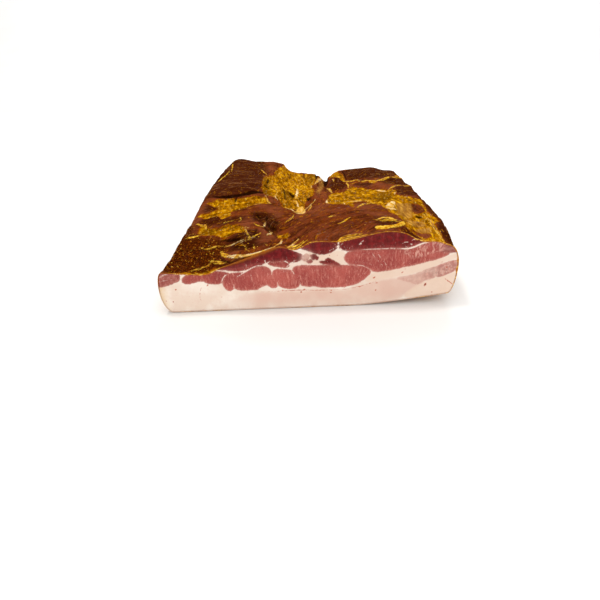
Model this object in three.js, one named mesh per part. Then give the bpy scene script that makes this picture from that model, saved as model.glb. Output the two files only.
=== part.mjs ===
// A slab of smoked bacon, cut across at the front and lying fat side down.
// Millimetres. +X runs along the cut face, +Y from the cut face to the back end, +Z up.
// The origin is under the middle of the slab, on the plane that it rests on.
import * as THREE from "three";

// Driving dimensions of the slab.
const LENGTH = 232;
const HALF_WIDTH = 101.5;
const CUT_FACE_Y = -LENGTH / 2;
const BACK_END_Y = LENGTH / 2;

// The underside is flat up to LIFT_START_X, and then curls up to the right edge.
const LIFT_START_X = 32;
const LIFT_RISE = 7.5;
const LIFT_POWER = 1.3;

// The flanks. A shoulder is how far in from a flank the top starts to round off, a heel is the same for the
// underside, and a waist is the height at which the flank stands out furthest. An inset is how far a flank
// stays inside HALF_WIDTH. It changes over CORNER_LENGTH behind the cut and over TAPER_LENGTH at the back,
// where TAPER_POWER makes it change faster towards the end.
const LEFT_SHOULDER_AT_CUT = 4;
const LEFT_SHOULDER = 15;
const LEFT_HEEL = 7;
const LEFT_WAIST_Z = 16;
const LEFT_INSET = 2;
const LEFT_INSET_AT_BACK = 15;
const RIGHT_SHOULDER = 5;
const RIGHT_HEEL = 5;
const RIGHT_WAIST_Z = 27;
const RIGHT_INSET = 1;
const RIGHT_INSET_AT_CUT = 2.5;
const RIGHT_INSET_AT_BACK = 2.5;
const CORNER_LENGTH = 30;
const TAPER_LENGTH = 125;
const TAPER_POWER = 2;

// The back end is rounded over BACK_ROUND, so that its rim sinks by RIM_SINK and the underside lifts by
// RIM_LIFT. Its line wavers by BACK_WAVER, and the face inside the rim is crowned by BACK_CROWN towards a
// spine that stops SPINE_INSET short of the flanks. CROWN_POWER keeps the crown flat in the middle.
const BACK_ROUND = 7;
const RIM_SINK = 5.5;
const RIM_LIFT = 2.8;
const BACK_WAVER = 1.5;
const BACK_WAVE_LENGTH = 118;
const BACK_CROWN = 3;
const CROWN_POWER = 2;
const SPINE_INSET = 16;

// Heights of the top surface, as [x, z], over three cross-sections.
const TOP_AT_CUT = [
  [-102, 31], [-84, 29.5], [-68, 28.4], [-60, 31.5], [-44, 37], [-30, 42], [-18, 45.5], [-7, 43.5],
  [4, 47.8], [20, 47.5], [34, 49.5], [50, 52.5], [62, 51.3], [72, 46.2], [86, 44], [102, 37],
];
const TOP_AT_MIDDLE = [
  [-102, 41], [-84, 42.5], [-60, 43.5], [-40, 45], [-20, 45.5],
  [0, 48], [38, 50], [58, 49], [78, 46.5], [102, 44.5],
];
const TOP_AT_BACK = [
  [-102, 59.5], [-72, 58.5], [-47, 54.7], [-24, 51.8], [-17, 44.5], [-12, 42.5], [0, 39.8], [11, 38],
  [20, 33.5], [26, 36], [33, 39.5], [42, 40.2], [71, 41.2], [87, 38.5], [102, 36],
];
const MIDDLE_Y = -46;
const CUT_BLEND_END_Y = -80;
const RELIEF_START_LENGTH = 8;

// Muscles, folds and hollows on the top. Each swells or sinks by rise over an ellipse of half-lengths
// reach, turned by turn degrees, and a higher power gives it a flatter top and steeper sides.
const SWELLS = [
  { name: "hollow before the back muscle", at: [-60, -7], reach: [27, 12], turn: 4, rise: -3.8, power: 6 },
  { name: "crown of the back muscle", at: [-58, 27], reach: [23, 22], turn: 0, rise: 2.2, power: 3 },
  { name: "fat fan", at: [-14, 44], reach: [20, 60], turn: -7, rise: -3.5, power: 4 },
  { name: "pit in the fat fan", at: [-16, 17], reach: [3.5, 13], turn: -6, rise: -2.5, power: 3 },
  { name: "front of the cleft", at: [4, 4], reach: [4, 36], turn: -15, rise: -4, power: 2 },
  { name: "cleft", at: [18, 84], reach: [5, 42], turn: -4, rise: -6, power: 2 },
  { name: "bump beside the cleft", at: [28, 44], reach: [6, 36], turn: -3, rise: 2.5, power: 3 },
  { name: "tongue of the centre muscle", at: [11, -10], reach: [7, 32], turn: -5, rise: 2.5, power: 3 },
  { name: "centre muscle", at: [14, -68], reach: [42, 34], turn: 8, rise: 2.5, power: 4 },
  { name: "fold left of the centre muscle", at: [-26, -77], reach: [3.5, 24], turn: 15, rise: -4, power: 2 },
  { name: "left muscle", at: [-58, -50], reach: [28, 13], turn: 8, rise: 3, power: 4 },
  { name: "pits in the left muscle", at: [-36, -52], reach: [5, 7], turn: 0, rise: -3, power: 2 },
  { name: "seam before the left muscle", at: [-60, -71], reach: [27, 4], turn: -4, rise: -2.5, power: 2 },
  { name: "front left muscle", at: [-41, -88], reach: [14, 9], turn: -8, rise: 3, power: 3 },
  { name: "front lip", at: [-42, -109], reach: [17, 3.5], turn: -18, rise: 2.5, power: 2 },
  { name: "fat hollow on the right", at: [44, -22], reach: [24, 26], turn: -10, rise: -2.5, power: 4 },
  { name: "slit", at: [57, -83], reach: [9, 4.5], turn: 0, rise: -3.5, power: 3 },
  { name: "fat bump before the slit", at: [57, -98], reach: [11, 6.5], turn: 32, rise: 2, power: 3 },
  { name: "band behind the fat", at: [68, 26], reach: [32, 16], turn: 6, rise: 2, power: 4 },
  { name: "seam before the back right muscle", at: [64, 49], reach: [30, 4], turn: 14, rise: -3, power: 2 },
  { name: "back right muscle", at: [66, 84], reach: [27, 28], turn: 6, rise: 2, power: 4 },
  { name: "fat valley along the right", at: [79, -66], reach: [7, 44], turn: 0, rise: -2.5, power: 3 },
];

// Fine unevenness of the smoked surface: a sum of waves, each with its own length and direction. Each one
// sways across its direction, over a length CRAG_SWAY times its own. On the flanks the waves are
// FLANK_SQUEEZE times as close up and down as along, and on the back face they are BACK_STRETCH times as
// long across it.
const CRAG_HEIGHT = 0.55;
const CRAG_SWAY = 1.7;
const FLANK_SQUEEZE = 2;
const BACK_STRETCH = 2;
const CRAG_WAVES = [
  { length: 31, turn: 20 },
  { length: 19, turn: -48 },
  { length: 13, turn: 75 },
];
const CRAG_PEAK = CRAG_HEIGHT * CRAG_WAVES.length;

// Mesh density. BACK_FILLS are the sizes of the rings on the back face, as shares of its rim.
const BODY_ROWS = 48;
const BACK_ROWS = 4;
const BACK_FILLS = [0.86, 0.7, 0.53, 0.36, 0.19, 0.04];
const TOP_STEPS = 48;
const SHOULDER_STEPS = 5;
const UNDER_STEPS = 20;
const HEEL_STEPS = 3;

const { lerp, smoothstep, degToRad } = THREE.MathUtils;

// The height at x on a smooth curve through [x, z] points.
function curveHeight(points, x) {
  const last = points.length - 1;
  let i = 0;
  while (i < last - 1 && x > points[i + 1][0]) i += 1;
  const slope = (a, b) => (points[b][1] - points[a][1]) / (points[b][0] - points[a][0]);
  const before = Math.max(i - 1, 0);
  const after = Math.min(i + 2, last);
  const width = points[i + 1][0] - points[i][0];
  const t = (x - points[i][0]) / width;
  const [rise, run] = [points[i][1], points[i + 1][1]];
  const startSlope = slope(before, i + 1) * width;
  const endSlope = slope(i, after) * width;
  return (
    rise * (1 + 2 * t) * (1 - t) ** 2 +
    startSlope * t * (1 - t) ** 2 +
    run * t * t * (3 - 2 * t) +
    endSlope * t * t * (t - 1)
  );
}

// What one swell adds to the height at (x, y).
function swellHeight(swell, x, y) {
  const turn = degToRad(swell.turn);
  const dx = x - swell.at[0];
  const dy = y - swell.at[1];
  const along = (dx * Math.cos(turn) + dy * Math.sin(turn)) / swell.reach[0];
  const across = (dy * Math.cos(turn) - dx * Math.sin(turn)) / swell.reach[1];
  return swell.rise * Math.exp(-(Math.hypot(along, across) ** swell.power));
}

// The fine unevenness at (x, y).
function cragHeight(x, y) {
  const wave = ({ length, turn }) => {
    const angle = degToRad(turn);
    const along = x * Math.cos(angle) + y * Math.sin(angle);
    const across = y * Math.cos(angle) - x * Math.sin(angle);
    const sway = Math.sin((2 * Math.PI * across) / (CRAG_SWAY * length));
    return Math.sin((2 * Math.PI * along) / length + sway);
  };
  return CRAG_HEIGHT * CRAG_WAVES.reduce((sum, each) => sum + wave(each), 0);
}

// The height of the top surface before its edges round off.
function topHeight(x, y) {
  const rearward = THREE.MathUtils.clamp((y - MIDDLE_Y) / (BACK_END_Y - MIDDLE_Y), 0, 1);
  const behindCut = smoothstep(y, CUT_FACE_Y, CUT_BLEND_END_Y);
  const body = lerp(curveHeight(TOP_AT_MIDDLE, x), curveHeight(TOP_AT_BACK, x), rearward);
  const base = lerp(curveHeight(TOP_AT_CUT, x), body, behindCut);
  const relief = SWELLS.reduce((sum, swell) => sum + swellHeight(swell, x, y), 0) + cragHeight(x, y);
  return base + relief * smoothstep(y, CUT_FACE_Y, CUT_FACE_Y + RELIEF_START_LENGTH);
}

// The height of the underside before its edges round off.
function underHeight(x) {
  const share = Math.max(x - LIFT_START_X, 0) / (HALF_WIDTH - LIFT_START_X);
  return LIFT_RISE * share ** LIFT_POWER;
}

// The height at which the flanks stand out furthest, carried across the section as a line.
function waistHeight(x) {
  return lerp(LEFT_WAIST_Z, RIGHT_WAIST_Z, (x + HALF_WIDTH) / (2 * HALF_WIDTH));
}

// The line of the back end's rim seen from above.
function backLine(x) {
  return BACK_END_Y - BACK_CROWN - BACK_WAVER * (1 - Math.sin((2 * Math.PI * x) / BACK_WAVE_LENGTH));
}

// The cross-section at the straight distance y along the slab, as a closed ring that runs left to right over
// the top and back along the underside.
function sectionRing(y) {
  const share = (y - CUT_FACE_Y) / LENGTH;
  const behindCorner = smoothstep(y, CUT_FACE_Y, CUT_FACE_Y + CORNER_LENGTH);
  const taper = THREE.MathUtils.clamp((y - BACK_END_Y + TAPER_LENGTH) / TAPER_LENGTH, 0, 1) ** TAPER_POWER;
  const toBack = Math.max(1 - (BACK_END_Y - y) / BACK_ROUND, 0);
  const rounding = 1 - Math.sqrt(1 - toBack ** 2);
  const leftInset = lerp(LEFT_INSET * behindCorner, LEFT_INSET_AT_BACK, taper);
  const rightInset = lerp(lerp(RIGHT_INSET_AT_CUT, RIGHT_INSET, behindCorner), RIGHT_INSET_AT_BACK, taper);
  const left = -HALF_WIDTH + leftInset + RIM_SINK * rounding;
  const right = HALF_WIDTH - rightInset - RIM_SINK * rounding;
  const leftShoulder = lerp(LEFT_SHOULDER_AT_CUT, LEFT_SHOULDER, behindCorner);

  const ring = [];
  const place = (x, z, fullness) => {
    const height = lerp(waistHeight(x), z, fullness);
    const bulge = cragHeight(y, FLANK_SQUEEZE * height) * (1 - fullness) * behindCorner;
    ring.push(new THREE.Vector3(x + Math.sign(x) * bulge, lerp(CUT_FACE_Y, backLine(x), share), height));
  };
  // One side of the section: a rounded edge at its start, an even run, and a rounded edge at its end.
  const side = (start, end, startEdge, endEdge, edgeSteps, runSteps, heightAt) => {
    const way = Math.sign(end - start);
    for (let k = 0; k < edgeSteps; k += 1) {
      const angle = (Math.PI / 2) * (k / edgeSteps);
      const x = start + way * startEdge * (1 - Math.cos(angle));
      place(x, heightAt(x), Math.sin(angle));
    }
    for (let k = 0; k < runSteps; k += 1) {
      const x = lerp(start + way * startEdge, end - way * endEdge, k / runSteps);
      place(x, heightAt(x), 1);
    }
    for (let k = edgeSteps; k > 0; k -= 1) {
      const angle = (Math.PI / 2) * (k / edgeSteps);
      const x = end - way * endEdge * (1 - Math.cos(angle));
      place(x, heightAt(x), Math.sin(angle));
    }
  };
  const overTop = (x) => topHeight(x, y) - RIM_SINK * rounding;
  const alongUnderside = (x) => underHeight(x) + RIM_LIFT * rounding;
  side(left, right, leftShoulder, RIGHT_SHOULDER, SHOULDER_STEPS, TOP_STEPS, overTop);
  side(right, left, RIGHT_HEEL, LEFT_HEEL, HEEL_STEPS, UNDER_STEPS, alongUnderside);
  return ring;
}

// The back face: rings inside its rim that shrink towards the spine and follow the crown.
function backFaceRings(rim) {
  const spineEnd = HALF_WIDTH - SPINE_INSET;
  return BACK_FILLS.map((fill) =>
    rim.map((point) => {
      const x = lerp(THREE.MathUtils.clamp(point.x, -spineEnd, spineEnd), point.x, fill);
      const z = lerp(waistHeight(x), point.z, fill);
      const crown = BACK_CROWN - CRAG_PEAK + cragHeight(x / BACK_STRETCH, z);
      return new THREE.Vector3(x, backLine(x) + (1 - fill ** CROWN_POWER) * crown, z);
    }),
  );
}

// A closed body through rings of points, its two ends filled flat.
function loftGeometry(rings) {
  const count = rings[0].length;
  const positions = rings.flatMap((ring) => ring.flatMap((point) => point.toArray()));
  const faces = [];
  for (let r = 0; r + 1 < rings.length; r += 1) {
    for (let i = 0; i < count; i += 1) {
      const j = (i + 1) % count;
      const [a, b] = [r * count + i, r * count + j];
      faces.push(a, b, a + count, b, b + count, a + count);
    }
  }
  const backStart = (rings.length - 1) * count;
  faces.push(...endFaces(rings[0], -1));
  faces.push(...endFaces(rings.at(-1), 1).map((index) => index + backStart));
  const geometry = new THREE.BufferGeometry();
  geometry.setAttribute("position", new THREE.Float32BufferAttribute(positions, 3));
  geometry.setIndex(faces);
  geometry.computeVertexNormals();
  return geometry;
}

// The triangles that fill a ring, as one list of indices, facing along way times +Y.
function endFaces(ring, way) {
  const outline = ring.map((point) => new THREE.Vector2(point.x, point.z));
  const triangles = THREE.ShapeUtils.triangulateShape(outline, []);
  const area = triangles.reduce((sum, [a, b, c]) => {
    const [edge, other] = [outline[b].clone().sub(outline[a]), outline[c].clone().sub(outline[a])];
    return sum + edge.cross(other);
  }, 0);
  const turned = Math.sign(area) === way;
  return triangles.flatMap(([a, b, c]) => (turned ? [a, c, b] : [a, b, c]));
}

// The distances of the cross-sections: even along the body, and closer over the rounded back end.
function sectionPlaces() {
  const roundStart = BACK_END_Y - BACK_ROUND;
  const body = Array.from({ length: BODY_ROWS }, (_, row) => lerp(CUT_FACE_Y, roundStart, row / BODY_ROWS));
  const back = Array.from({ length: BACK_ROWS + 1 }, (_, row) => {
    return roundStart + BACK_ROUND * Math.sin((Math.PI / 2) * (row / BACK_ROWS));
  });
  return [...body, ...back];
}

const sections = sectionPlaces().map(sectionRing);
const rings = [...sections, ...backFaceRings(sections.at(-1))];
const smokedMeat = new THREE.MeshStandardMaterial({ color: 0x6b3416, roughness: 0.45, metalness: 0 });
const slab = new THREE.Mesh(loftGeometry(rings), smokedMeat);
slab.name = "smoked_bacon";

const bacon = new THREE.Group();
bacon.add(slab);

export default bacon;
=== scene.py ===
"""Dresses the smoked bacon slab for its render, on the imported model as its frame."""
import logging
import math
from dataclasses import dataclass
from enum import Enum

import bpy
import numpy as np
from bpy.types import Material, Mesh, Node, NodeTree, Object
from bpy.types import NodeSocket as Socket
from bpy.types import bpy_prop_collection as Sockets
from mathutils import Matrix, Vector
from mathutils.geometry import delaunay_2d_cdt


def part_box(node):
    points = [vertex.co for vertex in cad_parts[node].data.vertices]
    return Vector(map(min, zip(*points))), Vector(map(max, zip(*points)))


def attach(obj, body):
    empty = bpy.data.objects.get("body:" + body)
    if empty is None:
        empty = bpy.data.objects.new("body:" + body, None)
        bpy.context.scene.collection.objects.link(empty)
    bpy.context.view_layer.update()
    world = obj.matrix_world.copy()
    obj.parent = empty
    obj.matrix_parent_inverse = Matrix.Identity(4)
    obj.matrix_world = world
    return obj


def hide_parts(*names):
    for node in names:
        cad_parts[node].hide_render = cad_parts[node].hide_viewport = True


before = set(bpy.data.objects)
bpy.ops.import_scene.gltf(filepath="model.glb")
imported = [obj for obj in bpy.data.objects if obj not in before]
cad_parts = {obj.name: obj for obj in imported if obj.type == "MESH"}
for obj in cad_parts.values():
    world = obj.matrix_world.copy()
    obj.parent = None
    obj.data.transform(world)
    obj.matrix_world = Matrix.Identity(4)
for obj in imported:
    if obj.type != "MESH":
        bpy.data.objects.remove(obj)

log = logging.getLogger("bacon")

MM = 0.001
FAR = 8.0
BLUNT_END = 0.08
NODE = "smoked_bacon"

Array = np.ndarray
Points = tuple[tuple[float, float], ...]
Color = tuple[float, float, float, float]


def paint(red: int, green: int, blue: int) -> Color:
    """Returns the linear colour of an sRGB one.

    Args:
        red: Red, 0 to 255.
        green: Green, 0 to 255.
        blue: Blue, 0 to 255.

    Returns:
        The colour with an alpha of 1.
    """
    shares = np.array([red, green, blue]) / 255
    linear = np.where(shares <= 0.04045, shares / 12.92, ((shares + 0.055) / 1.055) ** 2.4)
    return (*linear.tolist(), 1.0)


def ease(value: Array, start: float, end: float) -> Array:
    """Returns 0 before start, 1 after end and a smooth rise between them."""
    share = np.clip((value - start) / (end - start), 0, 1)
    return share * share * (3 - 2 * share)


def mix(low: Array, high: Array, share: Array) -> Array:
    """Returns the value at a share of the way from low to high."""
    return low + (high - low) * share


def hash_grid(column: Array, row: Array, seed: int) -> Array:
    """Returns a repeatable random number, 0 to 1, for each cell of a grid."""
    wave = np.sin(column * 127.1 + row * 311.7 + seed * 74.7) * 43758.5453
    return wave - np.floor(wave)


def lumps(x: Array, y: Array, size: float, seed: int) -> Array:
    """Returns smooth random lumps.

    Args:
        x: First coordinates, in mm.
        y: Second coordinates, in mm.
        size: The width of a lump, in mm.
        seed: Which pattern of lumps.

    Returns:
        Heights from -1 to 1.
    """
    turned_x = (0.8 * x + 0.6 * y) / size
    turned_y = (0.8 * y - 0.6 * x) / size
    column = np.floor(turned_x)
    row = np.floor(turned_y)
    across = ease(turned_x - column, 0, 1)
    up = ease(turned_y - row, 0, 1)
    low = mix(hash_grid(column, row, seed), hash_grid(column + 1, row, seed), across)
    high = mix(hash_grid(column, row + 1, seed), hash_grid(column + 1, row + 1, seed), across)
    return 2 * mix(low, high, up) - 1


def rounded(points: Points, closed: bool) -> Array:
    """Returns a line through rough points with its corners cut twice.

    Args:
        points: The corners.
        closed: Whether the last corner joins the first.

    Returns:
        The new corners, one to a row, the first repeated last on a closed line.
    """
    line = np.array(points, float)
    for _ in range(2):
        start = line if closed else line[:-1]
        end = np.roll(line, -1, axis=0) if closed else line[1:]
        cut = np.stack([mix(start, end, 0.25), mix(start, end, 0.75)], axis=1).reshape(-1, 2)
        line = cut if closed else np.vstack([line[:1], cut, line[-1:]])
    return np.vstack([line, line[:1]]) if closed else line


def line_distance(x: Array, y: Array, line: Array) -> tuple[Array, Array, Array]:
    """Measures points against a line.

    Args:
        x: First coordinates.
        y: Second coordinates.
        line: The line's corners, one to a row.

    Returns:
        How far each point is from the line, how far along the line its foot is, and on which side it is.
    """
    best = np.full(x.shape, np.inf)
    along = np.zeros(x.shape)
    side = np.ones(x.shape)
    done = 0.0
    for (ax, ay), (bx, by) in zip(line[:-1], line[1:]):
        length = math.hypot(bx - ax, by - ay)
        if length == 0:
            continue
        ux, uy = (bx - ax) / length, (by - ay) / length
        forward = np.clip((x - ax) * ux + (y - ay) * uy, 0, length)
        distance = np.hypot(x - ax - forward * ux, y - ay - forward * uy)
        nearer = distance < best
        best = np.where(nearer, distance, best)
        along = np.where(nearer, done + forward, along)
        side = np.where(nearer, np.sign((x - ax) * uy - (y - ay) * ux), side)
        done += length
    return best, along, side


def inside(x: Array, y: Array, line: Array) -> Array:
    """Finds the points that a closed line goes round.

    Args:
        x: First coordinates.
        y: Second coordinates.
        line: The line's corners, one to a row, the first repeated last.

    Returns:
        Whether each point is inside.
    """
    crossings = np.zeros(x.shape, bool)
    for (ax, ay), (bx, by) in zip(line[:-1], line[1:]):
        if ay == by:
            continue
        spans = (ay > y) != (by > y)
        crossings ^= spans & (x < (bx - ax) * (y - ay) / (by - ay) + ax)
    return crossings


def near(x: Array, y: Array, line: Array) -> Array:
    """Returns which points are within FAR of the box round a line."""
    low, high = line.min(axis=0) - FAR, line.max(axis=0) + FAR
    return (x > low[0]) & (x < high[0]) & (y > low[1]) & (y < high[1])


@dataclass(frozen=True)
class Patch:
    """An area with a closed outline, in mm, whose surface rises by rise."""

    outline: Points
    rise: float = 0.0

    def depth(self, x: Array, y: Array) -> Array:
        """Measures how far inside the outline points are.

        Args:
            x: First coordinates.
            y: Second coordinates.

        Returns:
            The depths, below zero outside, at least -FAR.
        """
        line = rounded(self.outline, True)
        result = np.full(x.shape, -FAR)
        close = near(x, y, line)
        distance = line_distance(x[close], y[close], line)[0]
        result[close] = np.where(inside(x[close], y[close], line), distance, -np.minimum(distance, FAR))
        return result


@dataclass(frozen=True)
class Trace:
    """A narrow mark along a line, in mm, which thins out towards its ends."""

    points: Points
    half_width: float
    rise: float = 0.0

    def depth(self, x: Array, y: Array) -> Array:
        """Measures how far inside the mark points are.

        Args:
            x: First coordinates.
            y: Second coordinates.

        Returns:
            The depths, below zero outside, at least -FAR.
        """
        line = rounded(self.points, False)
        result = np.full(x.shape, -FAR)
        close = near(x, y, line)
        distance, along, _ = line_distance(x[close], y[close], line)
        length = np.hypot(*np.diff(line, axis=0).T).sum()
        middle = np.sin(np.pi * np.clip(along / length, BLUNT_END, 1 - BLUNT_END)) ** 0.5
        result[close] = np.maximum(self.half_width * middle - distance, -FAR)
        return result


Marks = tuple[Patch | Trace, ...]


@dataclass(frozen=True)
class Swell:
    """A muscle, fold or hollow that swells or sinks by rise over an ellipse."""

    at: tuple[float, float]
    reach: tuple[float, float]
    turn: float
    rise: float
    power: float

    def height(self, x: Array, y: Array) -> Array:
        """Works out what the swell adds to the top.

        Args:
            x: Across the slab.
            y: Along the slab.

        Returns:
            The added heights.
        """
        turn = math.radians(self.turn)
        dx, dy = x - self.at[0], y - self.at[1]
        along = (dx * math.cos(turn) + dy * math.sin(turn)) / self.reach[0]
        across = (dy * math.cos(turn) - dx * math.sin(turn)) / self.reach[1]
        return self.rise * np.exp(-(np.hypot(along, across) ** self.power))


SWELLS = (
    Swell((-60, -7), (27, 12), 4, -3.8, 6),
    Swell((-58, 27), (23, 22), 0, 2.2, 3),
    Swell((-14, 44), (20, 60), -7, -3.5, 4),
    Swell((-16, 17), (3.5, 13), -6, -2.5, 3),
    Swell((4, 4), (4, 36), -15, -4, 2),
    Swell((18, 84), (5, 42), -4, -6, 2),
    Swell((28, 44), (6, 36), -3, 2.5, 3),
    Swell((11, -10), (7, 32), -5, 2.5, 3),
    Swell((14, -68), (42, 34), 8, 2.5, 4),
    Swell((-26, -77), (3.5, 24), 15, -4, 2),
    Swell((-58, -50), (28, 13), 8, 3, 4),
    Swell((-36, -52), (5, 7), 0, -3, 2),
    Swell((-60, -71), (27, 4), -4, -2.5, 2),
    Swell((-41, -88), (14, 9), -8, 3, 3),
    Swell((-42, -109), (17, 3.5), -18, 2.5, 2),
    Swell((44, -22), (24, 26), -10, -2.5, 4),
    Swell((57, -83), (9, 4.5), 0, -3.5, 3),
    Swell((57, -98), (11, 6.5), 32, 2, 3),
    Swell((68, 26), (32, 16), 6, 2, 4),
    Swell((64, 49), (30, 4), 14, -3, 2),
    Swell((66, 84), (27, 28), 6, 2, 4),
    Swell((79, -66), (7, 44), 0, -2.5, 3),
)

# The height of the top across the slab at its cut, its middle and its back.
TOP_AT_CUT = (
    (-102, 31), (-84, 29.5), (-68, 28.4), (-60, 31.5), (-44, 37), (-30, 42), (-18, 45.5), (-7, 43.5),
    (4, 47.8), (20, 47.5), (34, 49.5), (50, 52.5), (62, 51.3), (72, 46.2), (86, 44), (102, 37),
)
TOP_AT_MIDDLE = (
    (-102, 41), (-84, 42.5), (-60, 43.5), (-40, 45), (-20, 45.5), (0, 48), (38, 50), (58, 49), (78, 46.5),
    (102, 44.5),
)
TOP_AT_BACK = (
    (-102, 59.5), (-72, 58.5), (-47, 54.7), (-24, 51.8), (-17, 44.5), (-12, 42.5), (0, 39.8), (11, 38),
    (20, 33.5), (26, 36), (33, 39.5), (42, 40.2), (71, 41.2), (87, 38.5), (102, 36),
)


@dataclass(frozen=True)
class SlabForm:
    """The slab's shape, in mm, on the CAD solid's values.

    Only its crag is lower, because the crust has a finer relief of its own.
    """

    length: float = 232
    half_width: float = 101.5
    lift_start_x: float = 32
    lift_rise: float = 7.5
    lift_power: float = 1.3
    left_shoulder_at_cut: float = 4
    left_shoulder: float = 15
    left_heel: float = 7
    left_waist_z: float = 16
    left_inset: float = 2
    left_inset_at_back: float = 15
    right_shoulder: float = 5
    right_heel: float = 5
    right_waist_z: float = 27
    right_inset: float = 1
    right_inset_at_cut: float = 2.5
    right_inset_at_back: float = 2.5
    corner_length: float = 30
    taper_length: float = 125
    back_round: float = 7
    rim_sink: float = 5.5
    rim_lift: float = 2.8
    back_waver: float = 1.5
    back_wave_length: float = 118
    back_crown: float = 3
    middle_y: float = -46
    cut_blend_end_y: float = -80
    relief_start_length: float = 8
    crag_height: float = 0.18
    flank_calm: float = 0.35
    flank_squeeze: float = 2
    crag_sway: float = 1.7
    crag_waves: tuple[tuple[float, float], ...] = ((31, 20), (19, -48), (13, 75))

    @property
    def cut_y(self) -> float:
        """Returns where the cut face stands."""
        return -self.length / 2

    @property
    def back_y(self) -> float:
        """Returns where the back end stands before it wavers."""
        return self.length / 2

    @staticmethod
    def curve(points: Points, x: Array) -> Array:
        """Returns the heights at x on a smooth curve through points.

        Args:
            points: The curve's points.
            x: Where its height is wanted.

        Returns:
            The heights.
        """
        px, pz = np.array(points, float).T
        last = len(px) - 1
        i = np.clip(np.searchsorted(px, x) - 1, 0, last - 1)
        before, after = np.maximum(i - 1, 0), np.minimum(i + 2, last)
        width = px[i + 1] - px[i]
        t = (x - px[i]) / width
        start = (pz[i + 1] - pz[before]) / (px[i + 1] - px[before]) * width
        end = (pz[after] - pz[i]) / (px[after] - px[i]) * width
        from_low = pz[i] * (1 + 2 * t) * (1 - t) ** 2 + start * t * (1 - t) ** 2
        return from_low + pz[i + 1] * t * t * (3 - 2 * t) + end * t * t * (t - 1)

    def crag(self, x: Array, y: Array) -> Array:
        """Works out the unevenness of the smoked surface.

        Args:
            x: First coordinates.
            y: Second coordinates.

        Returns:
            Its heights.
        """
        total = np.zeros(np.broadcast(x, y).shape)
        for length, turn in self.crag_waves:
            angle = math.radians(turn)
            along = x * math.cos(angle) + y * math.sin(angle)
            across = y * math.cos(angle) - x * math.sin(angle)
            sway = np.sin(2 * np.pi * across / (self.crag_sway * length))
            total = total + np.sin(2 * np.pi * along / length + sway)
        return self.crag_height * total

    def top(self, x: Array, y: Array) -> Array:
        """Works out the top before its edges round off.

        Args:
            x: Across the slab.
            y: Along the slab.

        Returns:
            Its heights.
        """
        rearward = np.clip((y - self.middle_y) / (self.back_y - self.middle_y), 0, 1)
        body = mix(self.curve(TOP_AT_MIDDLE, x), self.curve(TOP_AT_BACK, x), rearward)
        base = mix(self.curve(TOP_AT_CUT, x), body, ease(y, self.cut_y, self.cut_blend_end_y))
        relief = sum(swell.height(x, y) for swell in SWELLS) + self.crag(x, y)
        return base + relief * ease(y, self.cut_y, self.cut_y + self.relief_start_length)

    def under(self, x: Array) -> Array:
        """Returns the height of the underside before its edges round off."""
        share = np.maximum(x - self.lift_start_x, 0) / (self.half_width - self.lift_start_x)
        return self.lift_rise * share**self.lift_power

    def waist(self, x: Array) -> Array:
        """Returns the height at which the flanks stand out furthest."""
        return mix(self.left_waist_z, self.right_waist_z, (x + self.half_width) / (2 * self.half_width))

    def back_line(self, x: Array) -> Array:
        """Returns the line of the back end's rim seen from above."""
        wave = np.sin(2 * np.pi * x / self.back_wave_length)
        return self.back_y - self.back_crown - self.back_waver * (1 - wave)

    def behind_corner(self, y: Array) -> Array:
        """Returns 0 at the cut and 1 behind the corner that the cut makes with the flanks."""
        return ease(y, self.cut_y, self.cut_y + self.corner_length)

    def rounding(self, y: Array) -> Array:
        """Returns how far the back end has rounded off at y, 0 to 1."""
        to_back = np.maximum(1 - (self.back_y - y) / self.back_round, 0)
        return 1 - np.sqrt(np.maximum(1 - to_back**2, 0))

    def flanks(self, y: Array) -> tuple[Array, Array]:
        """Finds the flanks.

        Args:
            y: Along the slab.

        Returns:
            Where the left and where the right flank stands.
        """
        behind = self.behind_corner(y)
        taper = np.clip((y - self.back_y + self.taper_length) / self.taper_length, 0, 1) ** 2
        left = mix(self.left_inset * behind, self.left_inset_at_back, taper)
        right = mix(mix(self.right_inset_at_cut, self.right_inset, behind), self.right_inset_at_back, taper)
        sink = self.rim_sink * self.rounding(y)
        return -self.half_width + left + sink, self.half_width - right - sink

    def ring(self, y: float, top_steps: int, under_steps: int, edge_steps: int) -> tuple[Array, Array]:
        """Makes the cross-section at the straight distance y along the slab.

        Args:
            y: Where the section is.
            top_steps: Steps over the top between its rounded edges.
            under_steps: Steps along the underside between its rounded edges.
            edge_steps: Steps round each edge.

        Returns:
            The ring's points, left to right over the top and back below, and how full each is, 0 at a
            waist and 1 on the top, and the same with a minus sign below.
        """
        left, right = (float(value) for value in self.flanks(np.array(y)))
        behind = float(self.behind_corner(np.array(y)))
        sink = float(self.rounding(np.array(y)))
        shoulder = float(mix(self.left_shoulder_at_cut, self.left_shoulder, behind))
        angle = np.linspace(0, np.pi / 2, edge_steps + 1)
        inset = 1 - np.cos(angle)
        run = np.linspace(left + shoulder, right - self.right_shoulder, top_steps + 1)[1:-1]
        edge = (right - self.right_shoulder * inset)[::-1]
        top_x = np.concatenate([left + shoulder * inset, run, edge])
        top_full = np.concatenate([np.sin(angle), np.ones(top_steps - 1), np.sin(angle)[::-1]])
        run = np.linspace(right - self.right_heel, left + self.left_heel, under_steps + 1)[1:-1]
        edge = (left + self.left_heel * inset)[::-1]
        under_x = np.concatenate([right - self.right_heel * inset, run, edge])
        under_full = np.concatenate([np.sin(angle), np.ones(under_steps - 1), np.sin(angle)[::-1]])
        top_z = self.top(top_x, np.full(top_x.shape, y)) - self.rim_sink * sink
        under_z = self.under(under_x) + self.rim_lift * sink
        x = np.concatenate([top_x[:-1], under_x[:-1]])
        full = np.concatenate([top_full[:-1], under_full[:-1]])
        height = mix(self.waist(x), np.concatenate([top_z[:-1], under_z[:-1]]), full)
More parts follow.
